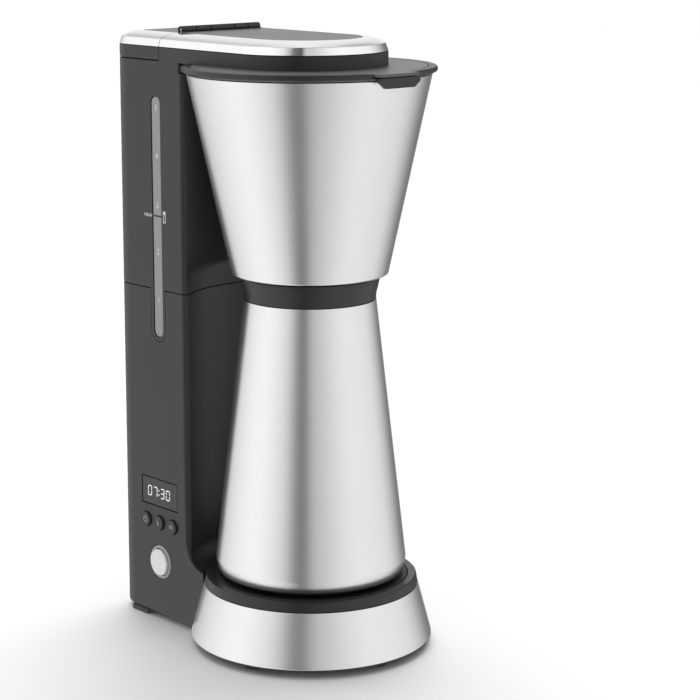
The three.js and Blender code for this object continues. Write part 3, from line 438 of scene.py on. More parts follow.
def rounded(corners: Sequence[Corner], steps: int = 6) -> list[Point2]:
    """Rounds the corners of a closed outline.

    Args:
        corners: points with a radius each; radius 0 keeps a corner.
        steps: pieces in each rounding.

    Returns:
        The outline's points.
    """
    outline: list[Point2] = []
    for i, (x, y, radius) in enumerate(corners):
        here = Vector((x, y))
        to_last = Vector(corners[i - 1][:2]) - here
        to_next = Vector(corners[(i + 1) % len(corners)][:2]) - here
        angle = to_last.angle(to_next)
        if radius <= 0 or angle > math.pi - 0.02:
            outline.append((x, y))
            continue
        reach = min(radius / math.tan(angle / 2), 0.48 * to_last.length, 0.48 * to_next.length)
        actual = reach * math.tan(angle / 2)
        to_last.normalize()
        to_next.normalize()
        centre = here + (to_last + to_next).normalized() * actual / math.sin(angle / 2)
        first, last = here + to_last * reach - centre, here + to_next * reach - centre
        start = math.atan2(first.y, first.x)
        sweep = (math.atan2(last.y, last.x) - start + math.pi) % (2 * math.pi) - math.pi
        for k in range(steps + 1):
            turn = start + sweep * k / steps
            outline.append((centre.x + actual * math.cos(turn), centre.y + actual * math.sin(turn)))
    return outline


def arc_points(x: float, y: float, radius: float, start: float, end: float, steps: int) -> list[Point2]:
    """Points of an arc.

    Args:
        x: the centre's first coordinate.
        y: its second.
        radius: the arc's radius.
        start: first angle in degrees.
        end: last angle in degrees.
        steps: pieces.

    Returns:
        steps + 1 points.
    """
    turns = [math.radians(start + (end - start) * k / steps) for k in range(steps + 1)]
    return [(x + radius * math.cos(t), y + radius * math.sin(t)) for t in turns]


def pane_corners(pane: Span, grow: float) -> list[Corner]:
    """The corners of a display pane enlarged by grow, with their small rounding."""
    left, right, low, high = pane.left - grow, pane.right + grow, pane.low - grow, pane.high + grow
    return [(left, low, 0.2), (right, low, 0.2), (right, high, 0.2), (left, high, 0.2)]


class Facing(Enum):
    """Which way the axis of a turned piece points, as a matrix from its own Z."""

    UP = ((1, 0, 0), (0, 1, 0), (0, 0, 1))
    TO_CONTROLS = ((1, 0, 0), (0, 0, -1), (0, 1, 0))
    TO_REAR = ((0, 0, -1), (0, 1, 0), (1, 0, 0))


class Body:
    """A mesh being made, in millimetres from the brew axis and the table."""

    def __init__(self, name: str, work: bmesh.types.BMesh) -> None:
        """Turns the work into an object.

        Args:
            name: the piece's name.
            work: its mesh in millimetres; it is freed.
        """
        bmesh.ops.recalc_face_normals(work, faces=work.faces[:])
        for vert in work.verts:
            vert.co = Vector((vert.co.x * MM + AXIS, vert.co.y * MM, vert.co.z * MM))
        mesh = bpy.data.meshes.new(name)
        work.to_mesh(mesh)
        work.free()
        self.object = bpy.data.objects.new(name, mesh)
        bpy.context.scene.collection.objects.link(self.object)

    @classmethod
    def turned(
        cls,
        name: str,
        profile: Sequence[Point2],
        sides: int = 144,
        facing: Facing = Facing.UP,
        at: Point3 = (0.0, 0.0, 0.0),
    ) -> "Body":
        """Revolves a closed profile.

        Args:
            name: the piece's name.
            profile: radius and height of each point.
            sides: pieces in a turn.
            facing: which way its axis points.
            at: where its axis's origin lies.

        Returns:
            The body.
        """
        work = bmesh.new()
        matrix = Matrix(facing.value)
        rings: list[list[bmesh.types.BMVert]] = []
        for radius, height in profile:
            count = sides if radius > 1e-6 else 1
            ring = []
            for k in range(count):
                turn = 2 * math.pi * k / sides
                point = matrix @ Vector((radius * math.cos(turn), radius * math.sin(turn), height))
                ring.append(work.verts.new(point + Vector(at)))
            rings.append(ring)
        for one, two in zip(rings, rings[1:] + rings[:1]):
            for k in range(sides):
                corners = [one[k % len(one)], one[(k + 1) % len(one)], two[(k + 1) % len(two)], two[k % len(two)]]
                unique = list(dict.fromkeys(corners))
                if len(unique) > 2:
                    work.faces.new(unique)
        return cls(name, work)

    @classmethod
    def lathe(cls, name: str, corners: Sequence[Corner], steps: int = 6, sides: int = 144,
              facing: Facing = Facing.UP, at: Point3 = (0.0, 0.0, 0.0)) -> "Body":
        """Revolves a closed profile of radius, height and rounding; the rest is as for turned."""
        return cls.turned(name, rounded(corners, steps), sides, facing, at)

    @classmethod
    def stacked(cls, name: str, rings: Sequence[Ring], ends: Ends = Ends.CAPPED) -> "Body":
        """Skins a stack of rings with equal counts.

        Args:
            name: the piece's name.
            rings: the rings in order.
            ends: how the stack is closed.

        Returns:
            The body.
        """
        work = bmesh.new()
        layers = [[work.verts.new(point) for point in ring] for ring in rings]
        pairs = list(zip(layers, layers[1:]))
        if ends is Ends.RETURNING:
            pairs.append((layers[-1], layers[0]))
        for one, two in pairs:
            for k in range(len(one)):
                after = (k + 1) % len(one)
                work.faces.new((one[k], one[after], two[after], two[k]))
        if ends is Ends.CAPPED:
            work.faces.new(layers[0])
            work.faces.new(layers[-1])
        return cls(name, work)

    @classmethod
    def prism(cls, name: str, outline: Sequence[Point2], low: float, high: float, facing: Facing = Facing.UP) -> "Body":
        """Raises an outline.

        Args:
            name: the piece's name.
            outline: its points; for a piece that faces the controls they are X and Z.
            low: where it starts along its axis.
            high: where it ends.
            facing: UP for X and Y points, TO_CONTROLS for X and Z points, TO_REAR for Y and Z points.

        Returns:
            The body.
        """
        def lift(point: Point2, depth: float) -> Point3:
            """A point of the outline at a depth."""
            if facing is Facing.TO_CONTROLS:
                return (point[0], depth, point[1])
            if facing is Facing.TO_REAR:
                return (depth, point[0], point[1])
            return (point[0], point[1], depth)

        return cls.stacked(name, [[lift(p, depth) for p in outline] for depth in (low, high)])

    @classmethod
    def block(cls, name: str, x: Point2, y: Point2, z: Point2) -> "Body":
        """A cutter with square corners between pairs of limits."""
        outline = [(x[0], y[0]), (x[1], y[0]), (x[1], y[1]), (x[0], y[1])]
        return cls.prism(name, outline, *z)

    def _settle(self) -> None:
        """Replaces the mesh by its evaluated form and drops the modifiers."""
        graph = bpy.context.evaluated_depsgraph_get()
        mesh = bpy.data.meshes.new_from_object(self.object.evaluated_get(graph))
        old = self.object.data
        self.object.modifiers.clear()
        self.object.data = mesh
        bpy.data.meshes.remove(old)

    def _combine(self, others: Sequence["Body"], operation: str) -> "Body":
        """Joins or cuts with other bodies, which are used up.

        Args:
            others: the other bodies.
            operation: UNION, DIFFERENCE or INTERSECT.

        Returns:
            This body.
        """
        for other in others:
            tool = self.object.modifiers.new("cut", "BOOLEAN")
            tool.operation = operation
            tool.solver = "EXACT"
            tool.object = other.object
        bpy.context.view_layer.update()
        self._settle()
        for other in others:
            bpy.data.objects.remove(other.object)
        return self

    def cut(self, *others: "Body") -> "Body":
        """Takes other bodies away."""
        return self._combine(others, "DIFFERENCE")

    def join(self, *others: "Body") -> "Body":
        """Adds other bodies."""
        return self._combine(others, "UNION")

    def sliced(self, x: float, ahead: bool) -> "Body":
        """Keeps one side of a plane across X and closes the cut.

        Args:
            x: the plane's place in millimetres from the brew axis.
            ahead: keep the side towards the carafe.

        Returns:
            This body.
        """
        work = bmesh.new()
        work.from_mesh(self.object.data)
        bmesh.ops.bisect_plane(
            work, geom=work.verts[:] + work.edges[:] + work.faces[:], dist=SLACK,
            plane_co=(x * MM + AXIS, 0, 0), plane_no=(1, 0, 0), clear_inner=ahead, clear_outer=not ahead)
        open_edges = [e for e in work.edges if len(e.link_faces) == 1]
        bmesh.ops.holes_fill(work, edges=open_edges, sides=0)
        bmesh.ops.recalc_face_normals(work, faces=work.faces[:])
        work.to_mesh(self.object.data)
        work.free()
        return self

    def softened(self, width: float, segments: int = 3, angle: float = 35.0) -> "Body":
        """Rounds its sharp edges.

        Args:
            width: the rounding in millimetres.
            segments: pieces in the rounding.
            angle: the least angle in degrees that counts as an edge.

        Returns:
            This body.
        """
        tool = self.object.modifiers.new("soft", "BEVEL")
        tool.width = width * MM
        tool.segments = segments
        tool.limit_method = "ANGLE"
        tool.angle_limit = math.radians(angle)
        tool.use_clamp_overlap = True
        bpy.context.view_layer.update()
        self._settle()
        return self

    def dressed(self, finish: Finish, body: str, *replaced: str) -> bpy.types.Object:
        """Gives the piece its material and its body, and hides the CAD nodes it stands for.

        Args:
            finish: its finish.
            body: the CAD body it moves with.
            replaced: CAD nodes it stands for.

        Returns:
            The object.
        """
        piece = self.object
        piece.data.materials.clear()
        piece.data.materials.append(finish.material())
        for face in piece.data.polygons:
            face.use_smooth = True
            face.material_index = 0
        piece.data.set_sharp_from_angle(angle=SMOOTH_ANGLE)
        tidy = piece.modifiers.new("even shading", "WEIGHTED_NORMAL")
        tidy.keep_sharp = True
        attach(piece, body)
        if replaced:
            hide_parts(*replaced)
        log.info("%s: %s, %d faces, on %s", piece.name, finish.name, len(piece.data.polygons), body)
        return piece


def lettering(name: str, text: str, height: float, x: float, z: float, y: float) -> Body:
    """Makes a word or number that stands on the control side.

    Args:
        name: the piece's name.
        text: what it says.
        height: the letters' height in millimetres.
        x: its middle along X.
        z: its middle in height.
        y: the face it is printed on.

    Returns:
        The body, 0.04 mm thick.
    """
    curve = bpy.data.curves.new(name, "FONT")
    curve.body = text
    curve.size = height * MM * 1.38
    curve.align_x = "CENTER"
    curve.extrude = 0.02 * MM
    curve.resolution_u = 3
    holder = bpy.data.objects.new(name, curve)
    bpy.context.scene.collection.objects.link(holder)
    bpy.context.view_layer.update()
    mesh = bpy.data.meshes.new_from_object(holder.evaluated_get(bpy.context.evaluated_depsgraph_get()))
    bpy.data.objects.remove(holder)
    work = bmesh.new()
    work.from_mesh(mesh)
    bmesh.ops.remove_doubles(work, verts=work.verts[:], dist=SLACK)
    heights = [v.co.y for v in work.verts]
    middle = (min(heights) + max(heights)) / 2
    for vert in work.verts:
        across, up, out = vert.co
        vert.co = Vector((across / MM + x, y - out / MM, (up - middle) / MM + z))
    bpy.data.meshes.remove(mesh)
    return Body(name, work)


# ---------------------------------------------------------------- housing


@dataclass(frozen=True)
class TowerSection:
    """A level cut through the tower: a rounded rear, and a front hollowed by the round bay."""

    half_width: float = 43.5
    rear: float = 122.0
    front: float = 54.5
    rear_radius: float = 18.0
    nose_radius: float = 2.6
    edge_radius: float = 0.7
    steps: int = 8

    def ring(self, z: float, bay: float | None, inset: float = 0.0, nose: float | None = None,
             strip: float | None = None) -> Ring:
        """The section's outline.

        Args:
            z: its height.
            bay: the bay's radius there, or None above and below the bay.
            inset: how far inside the housing's skin it lies.
            nose: the rounding between the side and the front.
            strip: how far from the middle plane the bay's edge lies where the front runs forward into the base.

        Returns:
            Its points, the same number for every height.
        """
        side = self.half_width - inset
        front = -(self.front + inset)
        if bay and strip:
            front = self.edge_radius - math.sqrt((bay + self.edge_radius) ** 2 - strip ** 2) - inset
        small = max((self.nose_radius if nose is None else nose) - inset, 0.4)
        corner = self.rear_radius - inset
        rear = -self.rear + inset
        half = [(rear, 0.0)] + arc_points(rear + corner, -side + corner, corner, 180, 270, 10)
        half += self._nose(bay + inset if bay else None, front, side, small, max(self.edge_radius - inset, 0.4))
        mirrored = [(x, -y) for x, y in reversed(half[1:-1])]
        return [(x, y, z) for x, y in half + mirrored]

    def _nose(self, bay: float | None, front: float, side: float, small: float, edge: float) -> list[Point2]:
        """Points from the side wall round the nose to the middle plane.

        Args:
            bay: the bay's radius, or None.
            front: the front plane.
            side: the side wall's distance from the middle plane.
            small: the nose's radius.
            edge: the radius between the front and the bay.

        Returns:
            The points on the near side.
        """
        n = self.steps
        if bay is None or bay <= -front + 0.05:
            flat = [(front, -(side - small) * (1 - k / (4 * n))) for k in range(1, 4 * n + 1)]
            return arc_points(front - small, -side + small, small, -90, 0, n) + flat
        across = math.sqrt(max((bay + edge) ** 2 - (front - edge) ** 2, 0.0))
        if across >= side - small:
            lone = -math.sqrt((bay + small) ** 2 - (side - small) ** 2)
            points = arc_points(lone, -side + small, small, -90, math.degrees(math.atan2(side - small, -lone)), 2 * n)
        else:
            end = math.degrees(math.atan2(across, edge - front))
            points = arc_points(front - small, -side + small, small, -90, 0, n)
            points += arc_points(front - edge, -across, edge, 0, end, n)[1:]
        start = math.degrees(math.atan2(points[-1][1], points[-1][0])) % 360
        return points + arc_points(0, 0, bay, start, 180, 3 * n)[1:]


@dataclass
class Housing:
    """The tower: a lower shell with the controls and an upper shell with the gauge and the brew head."""

    section: TowerSection = field(default_factory=TowerSection)
    wall: float = 2.5
    bay_top: float = 67.3
    bay_bottom: float = 67.6
    fillet: float = 10.0
    fillet_centre: float = 46.0
    pit: float = 58.8
    corner_start: float = 197.9
    ceiling: float = 206.4
    gauge_x: float = -77.9
    gauge_width: float = 7.7
    land: float = 2.5
    outlet: float = 14.8
    key_hole: float = 4.4

    def bay_radius(self, z: float) -> float:
        """The bay's radius at a height below its ceiling."""
        share = (z - self.fillet_centre) / (self.corner_start - self.fillet_centre)
        return self.bay_bottom + (self.bay_top - self.bay_bottom) * share

    def gauge_outline(self, grow: float) -> list[Point2]:
        """The gauge's long round-ended outline as X and Z points, enlarged by grow."""
        gauge = span("gauge_window")
        half = self.gauge_width / 2 + grow
        top = arc_points(self.gauge_x, gauge.high + grow - half, half, 0, 180, 24)
        return top + arc_points(self.gauge_x, gauge.low - grow + half, half, 180, 360, 24)

    def lower_rings(self, inset: float) -> list[Ring]:
        """The lower shell's rings from the feet to the seam.

        Args:
            inset: 0 for the skin, the wall for the inside.

        Returns:
            The rings.
        """
        box = span("lower_housing")
        rings = []
        edge = 0.0 if inset else 0.6
        for z, shrink in ((box.low, edge), (box.low + 0.25, edge * 0.35), (box.low + 0.7, 0.0), (20.0, 0.0)):
            rings.append(self.section.ring(z, self.pit, inset + shrink, 0.45 + inset, 43.0))
        start = math.degrees(math.acos((self.pit - self.bay_bottom + self.fillet) / self.fillet))
        for k in range(13):
            turn = math.radians(start * (1 - k / 12))
            z = self.fillet_centre - self.fillet * math.sin(turn)
            share = min(max((z - 38) / 14, 0.0), 1.0)
            bay = self.bay_bottom - self.fillet + self.fillet * math.cos(turn)
            rings.append(self.section.ring(z, bay, inset, 0.45 + 2.15 * share, 43.0 - 2.8 * share))
        for z in (49.0, 52.0):
            share = (z - 38) / 14
            rings.append(self.section.ring(z, self.bay_radius(z), inset, 0.45 + 2.15 * share, 43.0 - 2.8 * share))
        for z in (57.0, 90.0, 120.0, 150.0, 180.0):
            rings.append(self.section.ring(z, self.bay_radius(z), inset))
        for z, shrink in ((box.high - 0.5, 0.0), (box.high - 0.15, 0.1), (box.high, 0.35)):
            rings.append(self.section.ring(z, self.bay_radius(z), inset + (0.0 if inset else shrink)))
        return rings

    def upper_rings(self, inset: float, top: float) -> list[Ring]:
        """The upper shell's rings from the seam to the head.

        Args:
            inset: 0 for the skin, the wall for the inside.
            top: the last ring's height.

        Returns:
            The rings.
        """
        seam = span("lower_housing").high + 0.3
        rings = []
        for z, shrink in ((seam, 0.35), (seam + 0.15, 0.1), (seam + 0.5, 0.0)):
            rings.append(self.section.ring(z, self.bay_radius(z), inset + (0.0 if inset else shrink)))
        radius = self.ceiling - self.corner_start
        for k in range(11):
            turn = math.radians(80 * k / 10)
            bay = self.bay_top - radius + radius * math.cos(turn)
            rings.append(self.section.ring(self.corner_start + radius * math.sin(turn), bay, inset))
        for k, bay in enumerate((60.0, 57.5, 55.5, 54.7)):
            rings.append(self.section.ring(self.ceiling + 0.05 * (k + 1), bay, inset))
        funnel = span("funnel_shell")
        rings += [self.section.ring(z, None, inset) for z in (self.ceiling + 0.3, 230.0, 250.0)]
        slope = (funnel.right - 41.9) / (funnel.high - funnel.low)
        start = funnel.low + (self.section.front + 0.1 - 1.5 - 41.9) / slope
        ledge = funnel.high - 0.3
        for k in range(17):
            z = start + (ledge - start) * (k / 16) ** 1.3
            rings.append(self.section.ring(z, 41.9 + slope * (z - funnel.low) + 1.5, inset, 2.6 - k / 16))
        for z, bay in ((ledge + 0.05, 69.6), (ledge + 0.4, 70.0), (top, 70.0)):
            rings.append(self.section.ring(z, bay, inset, 1.6))
        return rings

    def shell(self, name: str, outer: list[Ring], inner: list[Ring]) -> Body:
        """A hollow shell between two skins."""
        return Body.stacked(name, outer + inner[::-1], Ends.RETURNING)

    def side_cut(self, name: str, outline: Sequence[Point2]) -> Body:
        """A cutter through the control side's wall."""
        return Body.prism(name, outline, -self.section.half_width - 2, -self.section.half_width + self.wall + 1.5,
                          Facing.TO_CONTROLS)

    def build_lower(self) -> None:
        """Makes the lower shell with its holes for the display, the keys and the power button."""
        shell = self.shell("lower_shell", self.lower_rings(0.0), self.lower_rings(self.wall))
        window, ring = span("display_window"), span("power_key_ring")
        pane = rounded(pane_corners(window, 0.4))
        cutters = [self.side_cut("window_hole", pane),
                   self.side_cut("gauge_dip", self.gauge_outline(self.land + 0.3)),
                   self.side_cut("power_hole", arc_points(ring.x, ring.z, ring.radius + GAP, 0, 354, 59))]
        for key in ("clock_key", "hour_key", "minute_key"):
            place = span(key)
            cutters.append(self.side_cut(key + "_hole", arc_points(place.x, place.z, self.key_hole, 0, 352.5, 47)))
        gland = span("cable_gland")
        cutters.append(Body.turned("gland_hole", [(0, -6), (5.5, -6), (5.5, 6), (0, 6)], 48, Facing.TO_REAR,
                                   (-self.section.rear, gland.y, gland.z)))
        shell.cut(*cutters).dressed(HOUSING, "machine", "lower_housing")

    def build_upper(self) -> None:
        """Makes the upper shell with the fixed part of the brew head."""
        band = span("tank_lid_body")
        foot = band.low - 0.6
        seam = span("head_trim").left
        shell = self.shell("upper_shell", self.upper_rings(0.0, foot), self.upper_rings(self.wall, foot))
        dip = Body.prism("dip", self.gauge_outline(self.land), -self.section.half_width,
                         -self.section.half_width + self.wall, Facing.TO_CONTROLS)
        head = head_stack("head", [(0.0, foot), (0.0, band.high - 0.3), (0.3, band.high)]).sliced(seam, True)
        hole = Body.turned("outlet_hole", [(0, foot - 1), (self.outlet, foot - 1), (self.outlet, band.high - 1.2),
                                           (0, band.high - 1.2)], 96)
        shell.join(dip, head).cut(self.side_cut("gauge_slot", self.gauge_outline(0.3)), hole)
        shell.dressed(HOUSING, "machine", "upper_housing")

    def build_gauge(self) -> None:
        """Makes the water gauge's window with its numbers."""
        gauge = span("gauge_window")
        rings = []
        for y, grow in ((gauge.back, 0.0), (gauge.front + 0.5, 0.0), (gauge.front + 0.15, -0.15),
                        (gauge.front, -0.5)):
            rings.append([(x, y, z) for x, z in self.gauge_outline(grow)])
        Body.stacked("gauge_pane", rings).dressed(GAUGE, "machine", "gauge_window")
        for number, z in ((5, 290.0), (4, 263.6), (3, 236.6), (2, 211.0), (1, 184.0)):
            lettering(f"gauge_number_{number}", str(number), 3.4, self.gauge_x + 0.4, z, gauge.front - 0.02).dressed(
                PRINT_WHITE, "machine")

    def build(self) -> None:
        """Makes the whole housing."""
        self.build_lower()
        self.build_upper()
        self.build_gauge()


# ---------------------------------------------------------------- brew head and lid


HEAD_CENTRE = -2.7  # the centre of the head's round front, along X


def head_ring(inset: float, z: float) -> Ring:
    """The head's outline, a long shape with a half-round front.

    Args:
        inset: how far inside the outline.
        z: its height.

    Returns:
        The ring.
    """
    side, rear, centre = TowerSection.half_width - inset, TowerSection.rear_radius - inset, HEAD_CENTRE
    left = -TowerSection.rear + inset
    outline = arc_points(left + rear, -side + rear, rear, 180, 270, 12)
    outline += [(left + rear + (centre - left - rear) * k / 6, -side) for k in range(1, 6)]
    outline += arc_points(centre, 0, side, -90, 90, 72)
    outline += [(centre - (centre - left - rear) * k / 6, side) for k in range(1, 6)]
    outline += arc_points(left + rear, side - rear, rear, 90, 180, 12)
    return [(x, y, z) for x, y in outline]


def head_stack(name: str, layers: Sequence[Point2], ends: Ends = Ends.CAPPED) -> Body:
    """Skins the head's outline through pairs of inset and height."""
    return Body.stacked(name, [head_ring(inset, z) for inset, z in layers], ends)


@dataclass
class BrewHead:
    """The chrome frame, the satin insert, the hinge and the tank lid."""

    frame_width: float = 13.5
    crease: float = 1.5
    sheet: float = 1.6
    knuckle: float = 2.05
    pin_hole: float = 1.25
    joints: tuple[float, ...] = (-27.6, -17.4, -7.4, 9.2, 18.6, 27.6)

    def dome(self, start: float, end: float) -> list[Point2]:
        """The frame's rounded rise from the crease to the insert, as insets and heights."""
        first, last = self.crease + 0.5, self.frame_width - 0.6
        return [(first + (last - first) * t, start + (end - start) * (1 - (1 - t) ** 2))
                for t in (0.1, 0.22, 0.36, 0.52, 0.7, 0.86)]

    def chrome(self, name: str) -> Body:
        """The chrome frame before it is parted at the seam."""
        trim = span("head_trim")
        low, high = trim.low, trim.high
        crease = low + 4.1
        layers = [(0.25, low), (0.05, low + 0.12), (0.0, low + 0.4), (self.crease - 0.16, crease - 0.35),
                  (self.crease - 0.05, crease - 0.1), (self.crease + 0.12, crease + 0.05),
                  (self.crease + 0.5, crease + 0.15), *self.dome(crease + 0.15, high - 0.14),
                  (self.frame_width - 0.6, high - 0.14), (self.frame_width - 0.2, high - 0.06),
                  (self.frame_width, high - 0.25), (self.frame_width, high - self.sheet),
                  (self.crease + self.sheet + 0.3, crease - 0.9), (self.sheet, low)]
        return head_stack(name, layers, Ends.RETURNING)

    def insert(self, name: str) -> Body:
        """The satin insert before it is parted at the seam."""
        panel = span("tank_lid_panel")
        top = span("head_trim").high
        edge = self.frame_width + 0.3
        return head_stack(name, [(edge, panel.low), (edge, top - 0.35), (edge + 0.1, top - 0.1), (edge + 0.35, top)])

    def knuckles(self, name: str, body: str, fixed: bool) -> None:
        """Makes one side's hinge knuckles.

        Args:
            name: the pieces' name.
            body: the body they move with.
            fixed: whether they belong to the head.
        """
        pin, top = span("hinge_pin"), span("head_trim").high
        for i, (start, end) in enumerate(zip(self.joints, self.joints[1:])):
            if (i % 2 == 0) is not fixed:
                continue
            low, high = start + 0.2, end - 0.2
            outer, inner = self.knuckle, self.pin_hole
            profile = [(inner, -high, 0.1), (outer, -high, 0.25), (outer, -low, 0.25), (inner, -low, 0.1)]
            barrel = Body.lathe(f"{name}_{i}", profile, 3, 40, Facing.TO_CONTROLS, (pin.x, 0, pin.z))
            leaf_x = (pin.x + 1.0, pin.x + 3.0) if fixed else (pin.x - 3.0, pin.x - 1.0)
            leaf = Body.block("leaf", leaf_x, (low, high), (top - 0.3, top + 0.45))
            barrel.join(leaf).dressed(BLACK, body)

    def build(self) -> None:
        """Makes the head's trim and the tank lid."""
        seam_ahead, seam_behind = span("head_trim").left, span("tank_lid_trim").right
        self.chrome("head_frame").sliced(seam_ahead, True).dressed(CHROME, "machine", "head_trim")
        self.chrome("lid_frame").sliced(seam_behind, False).dressed(CHROME, "tank_lid", "tank_lid_trim")
        self.insert("head_insert").sliced(seam_ahead, True).dressed(PANEL, "machine", "head_panel")
        lid = self.insert("lid_insert").sliced(seam_behind, False)
        pin = span("hinge_pin")
        reliefs = []
        for i in (0, 2, 4):
            start, end = self.joints[i] - 0.2, self.joints[i + 1] + 0.2
            profile = [(0, -end), (2.4, -end), (2.4, -start), (0, -start)]
            reliefs.append(Body.turned(f"relief_{i}", profile, 40, Facing.TO_CONTROLS, (pin.x, 0, pin.z)))
        lid.cut(*reliefs).dressed(PANEL, "tank_lid", "tank_lid_panel")
        self.knuckles("head_knuckle", "machine", True)
        self.knuckles("lid_knuckle", "tank_lid", False)
        tray = span("tank_lid_body")
        layers = [(3.2, tray.low), (0.35, tray.low), (0.1, tray.low + 0.12), (0.0, tray.low + 0.4),
                  (0.0, tray.high - 0.3), (0.25, tray.high), (self.sheet + 0.9, tray.high),
                  (self.sheet + 1.0, tray.low + 2.0)]
        head_stack("lid_tray", layers).sliced(seam_behind, False).dressed(HOUSING, "tank_lid", "tank_lid_body")


# ---------------------------------------------------------------- filter


@dataclass
class FunnelFilter:
    """The steel funnel with its plastic basket, rim, grip flap and lid."""

    edge: float = 1.4
    steel: float = 1.0
    half_tongue: float = 13.6
    lid_hole: float = 16.5

    def build_shell(self) -> None:
        """Makes the steel funnel."""
        s = span("funnel_shell")
        bottom, top, lip = 41.9, s.right, s.high + 1.5
        profile = [(37.5, s.low, 0.3), (bottom, s.low - 0.4, self.edge), (top, lip, 0.3),
                   (top - self.steel, lip, 0.3), (bottom - 0.8, s.low + self.steel, 1.6),
                   (37.5, s.low + self.steel, 0.3)]
        Body.lathe("steel_funnel", profile, 6, 192).dressed(STEEL, "filter", "funnel_shell")

    def build_basket(self) -> None:
        """Makes the cone that holds the paper."""
        s = span("filter_basket")
        top, floor = s.right, s.low + 8
        profile = [
            (9.5, s.low, 0.3), (37.2, s.low, 0.3), (37.2, s.low + 1.6, 0.3), (11.5, s.low + 1.6, 0.4),
            (11.5, floor - 2, 0.4), (22, floor - 2, 1.5), (top, s.high - 2.9, 0.5), (top, s.high, 0.2),
            (top - 2, s.high, 0.3), (20.5, floor, 2.0), (5, floor, 0.3), (5, floor - 2, 0.3), (9.5, floor - 2, 0.4)]
        Body.lathe("paper_cone", profile, 4, 144).dressed(BLACK_DULL, "filter", "filter_basket")

    def build_rim(self) -> None:
        """Makes the rim with its seat for the lid, and the grip flap."""
        cone, s = span("filter_basket"), span("filter_rim")
        low, high, outer, inner = cone.high - 2.9, s.high, s.back, cone.right + 0.3
        profile = rounded([(inner, low + 1.5, 0.2), (65.3, low + 1.5, 0.4), (outer, low + 2.7, 1.0), (outer, high, 1.2),
                           (62.8, high, 0.3), (62.8, cone.high, 0.2), (inner, cone.high, 0.2)], 5)
        notch = Body.block("notch", (inner - 0.5, 90), (-self.half_tongue - 0.3, self.half_tongue + 0.3),
                           (high - 1.9, high + 5))
        rim = Body.turned("filter_rim_ring", profile, 192).cut(notch)
        rim.dressed(BLACK, "filter", "filter_rim")
        self.build_flap(s)

    def build_flap(self, s: Span) -> None:
        """Makes the flap that the fingers pull.

        Args:
            s: the rim's extent.
        """
        half, top, low = self.half_tongue, s.high - 2.1, s.low
        face = rounded([(-half, top, 0.4), (-half, top - 2.2, 1.0), (-half + 2.2, low + 1.3, 1.0),
                        (-half + 3.8, low, 0.8), (half - 3.8, low, 0.8), (half - 2.2, low + 1.3, 1.0),
                        (half, top - 2.2, 1.0), (half, top, 0.4)], 4)
        plate = Body.prism("grip_flap", face, s.right - 2.2, s.right, Facing.TO_REAR)
        shelf = Body.block("shelf", (66.4, s.right - 1.0), (-half + 0.4, half - 0.4), (top - 1.8, top))
        plate.join(shelf).softened(0.35, 3).dressed(BLACK, "filter")

    def build_lid(self) -> None:
        """Makes the filter lid, whose disc runs out into a tongue."""
        s = span("filter_lid")
        radius, half, tip = s.back, self.half_tongue, s.right
        start = math.degrees(math.asin((half + 1.2) / radius))
        outline = arc_points(0, 0, radius, start, 360 - start, 180)
        nose = rounded([(radius - 6, -half, 0), (radius + 1.6, -half, 0.0), (tip - 0.5, -half, 1.8),
                        (tip, -half * 0.35, 8.0), (tip, half * 0.35, 8.0), (tip - 0.5, half, 1.8),
                        (radius + 1.6, half, 0.0), (radius - 6, half, 0)], 5)
        outline += nose[1:-1]
        upper = Body.prism("filter_cover", outline, s.high - 1.6, s.high)
        upper.cut(Body.turned("lid_hole", [(0, s.low - 2), (self.lid_hole, s.low - 2), (self.lid_hole, s.high + 2),
                                           (0, s.high + 2)], 96))
        upper.softened(0.45, 4, 50).dressed(PANEL, "filter", "filter_lid")
        skirt = [(self.lid_hole + 1, s.low, 0.1), (radius - 1.2, s.low, 0.2), (radius - 1.2, s.high - 1.55, 0),
                 (self.lid_hole + 1, s.high - 1.55, 0)]
        Body.lathe("filter_cover_rib", skirt, 2, 144).dressed(PANEL, "filter")

    def build(self) -> None:
        """Makes the whole filter."""
        self.build_shell()
        self.build_basket()
        self.build_rim()
        self.build_lid()


# ---------------------------------------------------------------- carafe


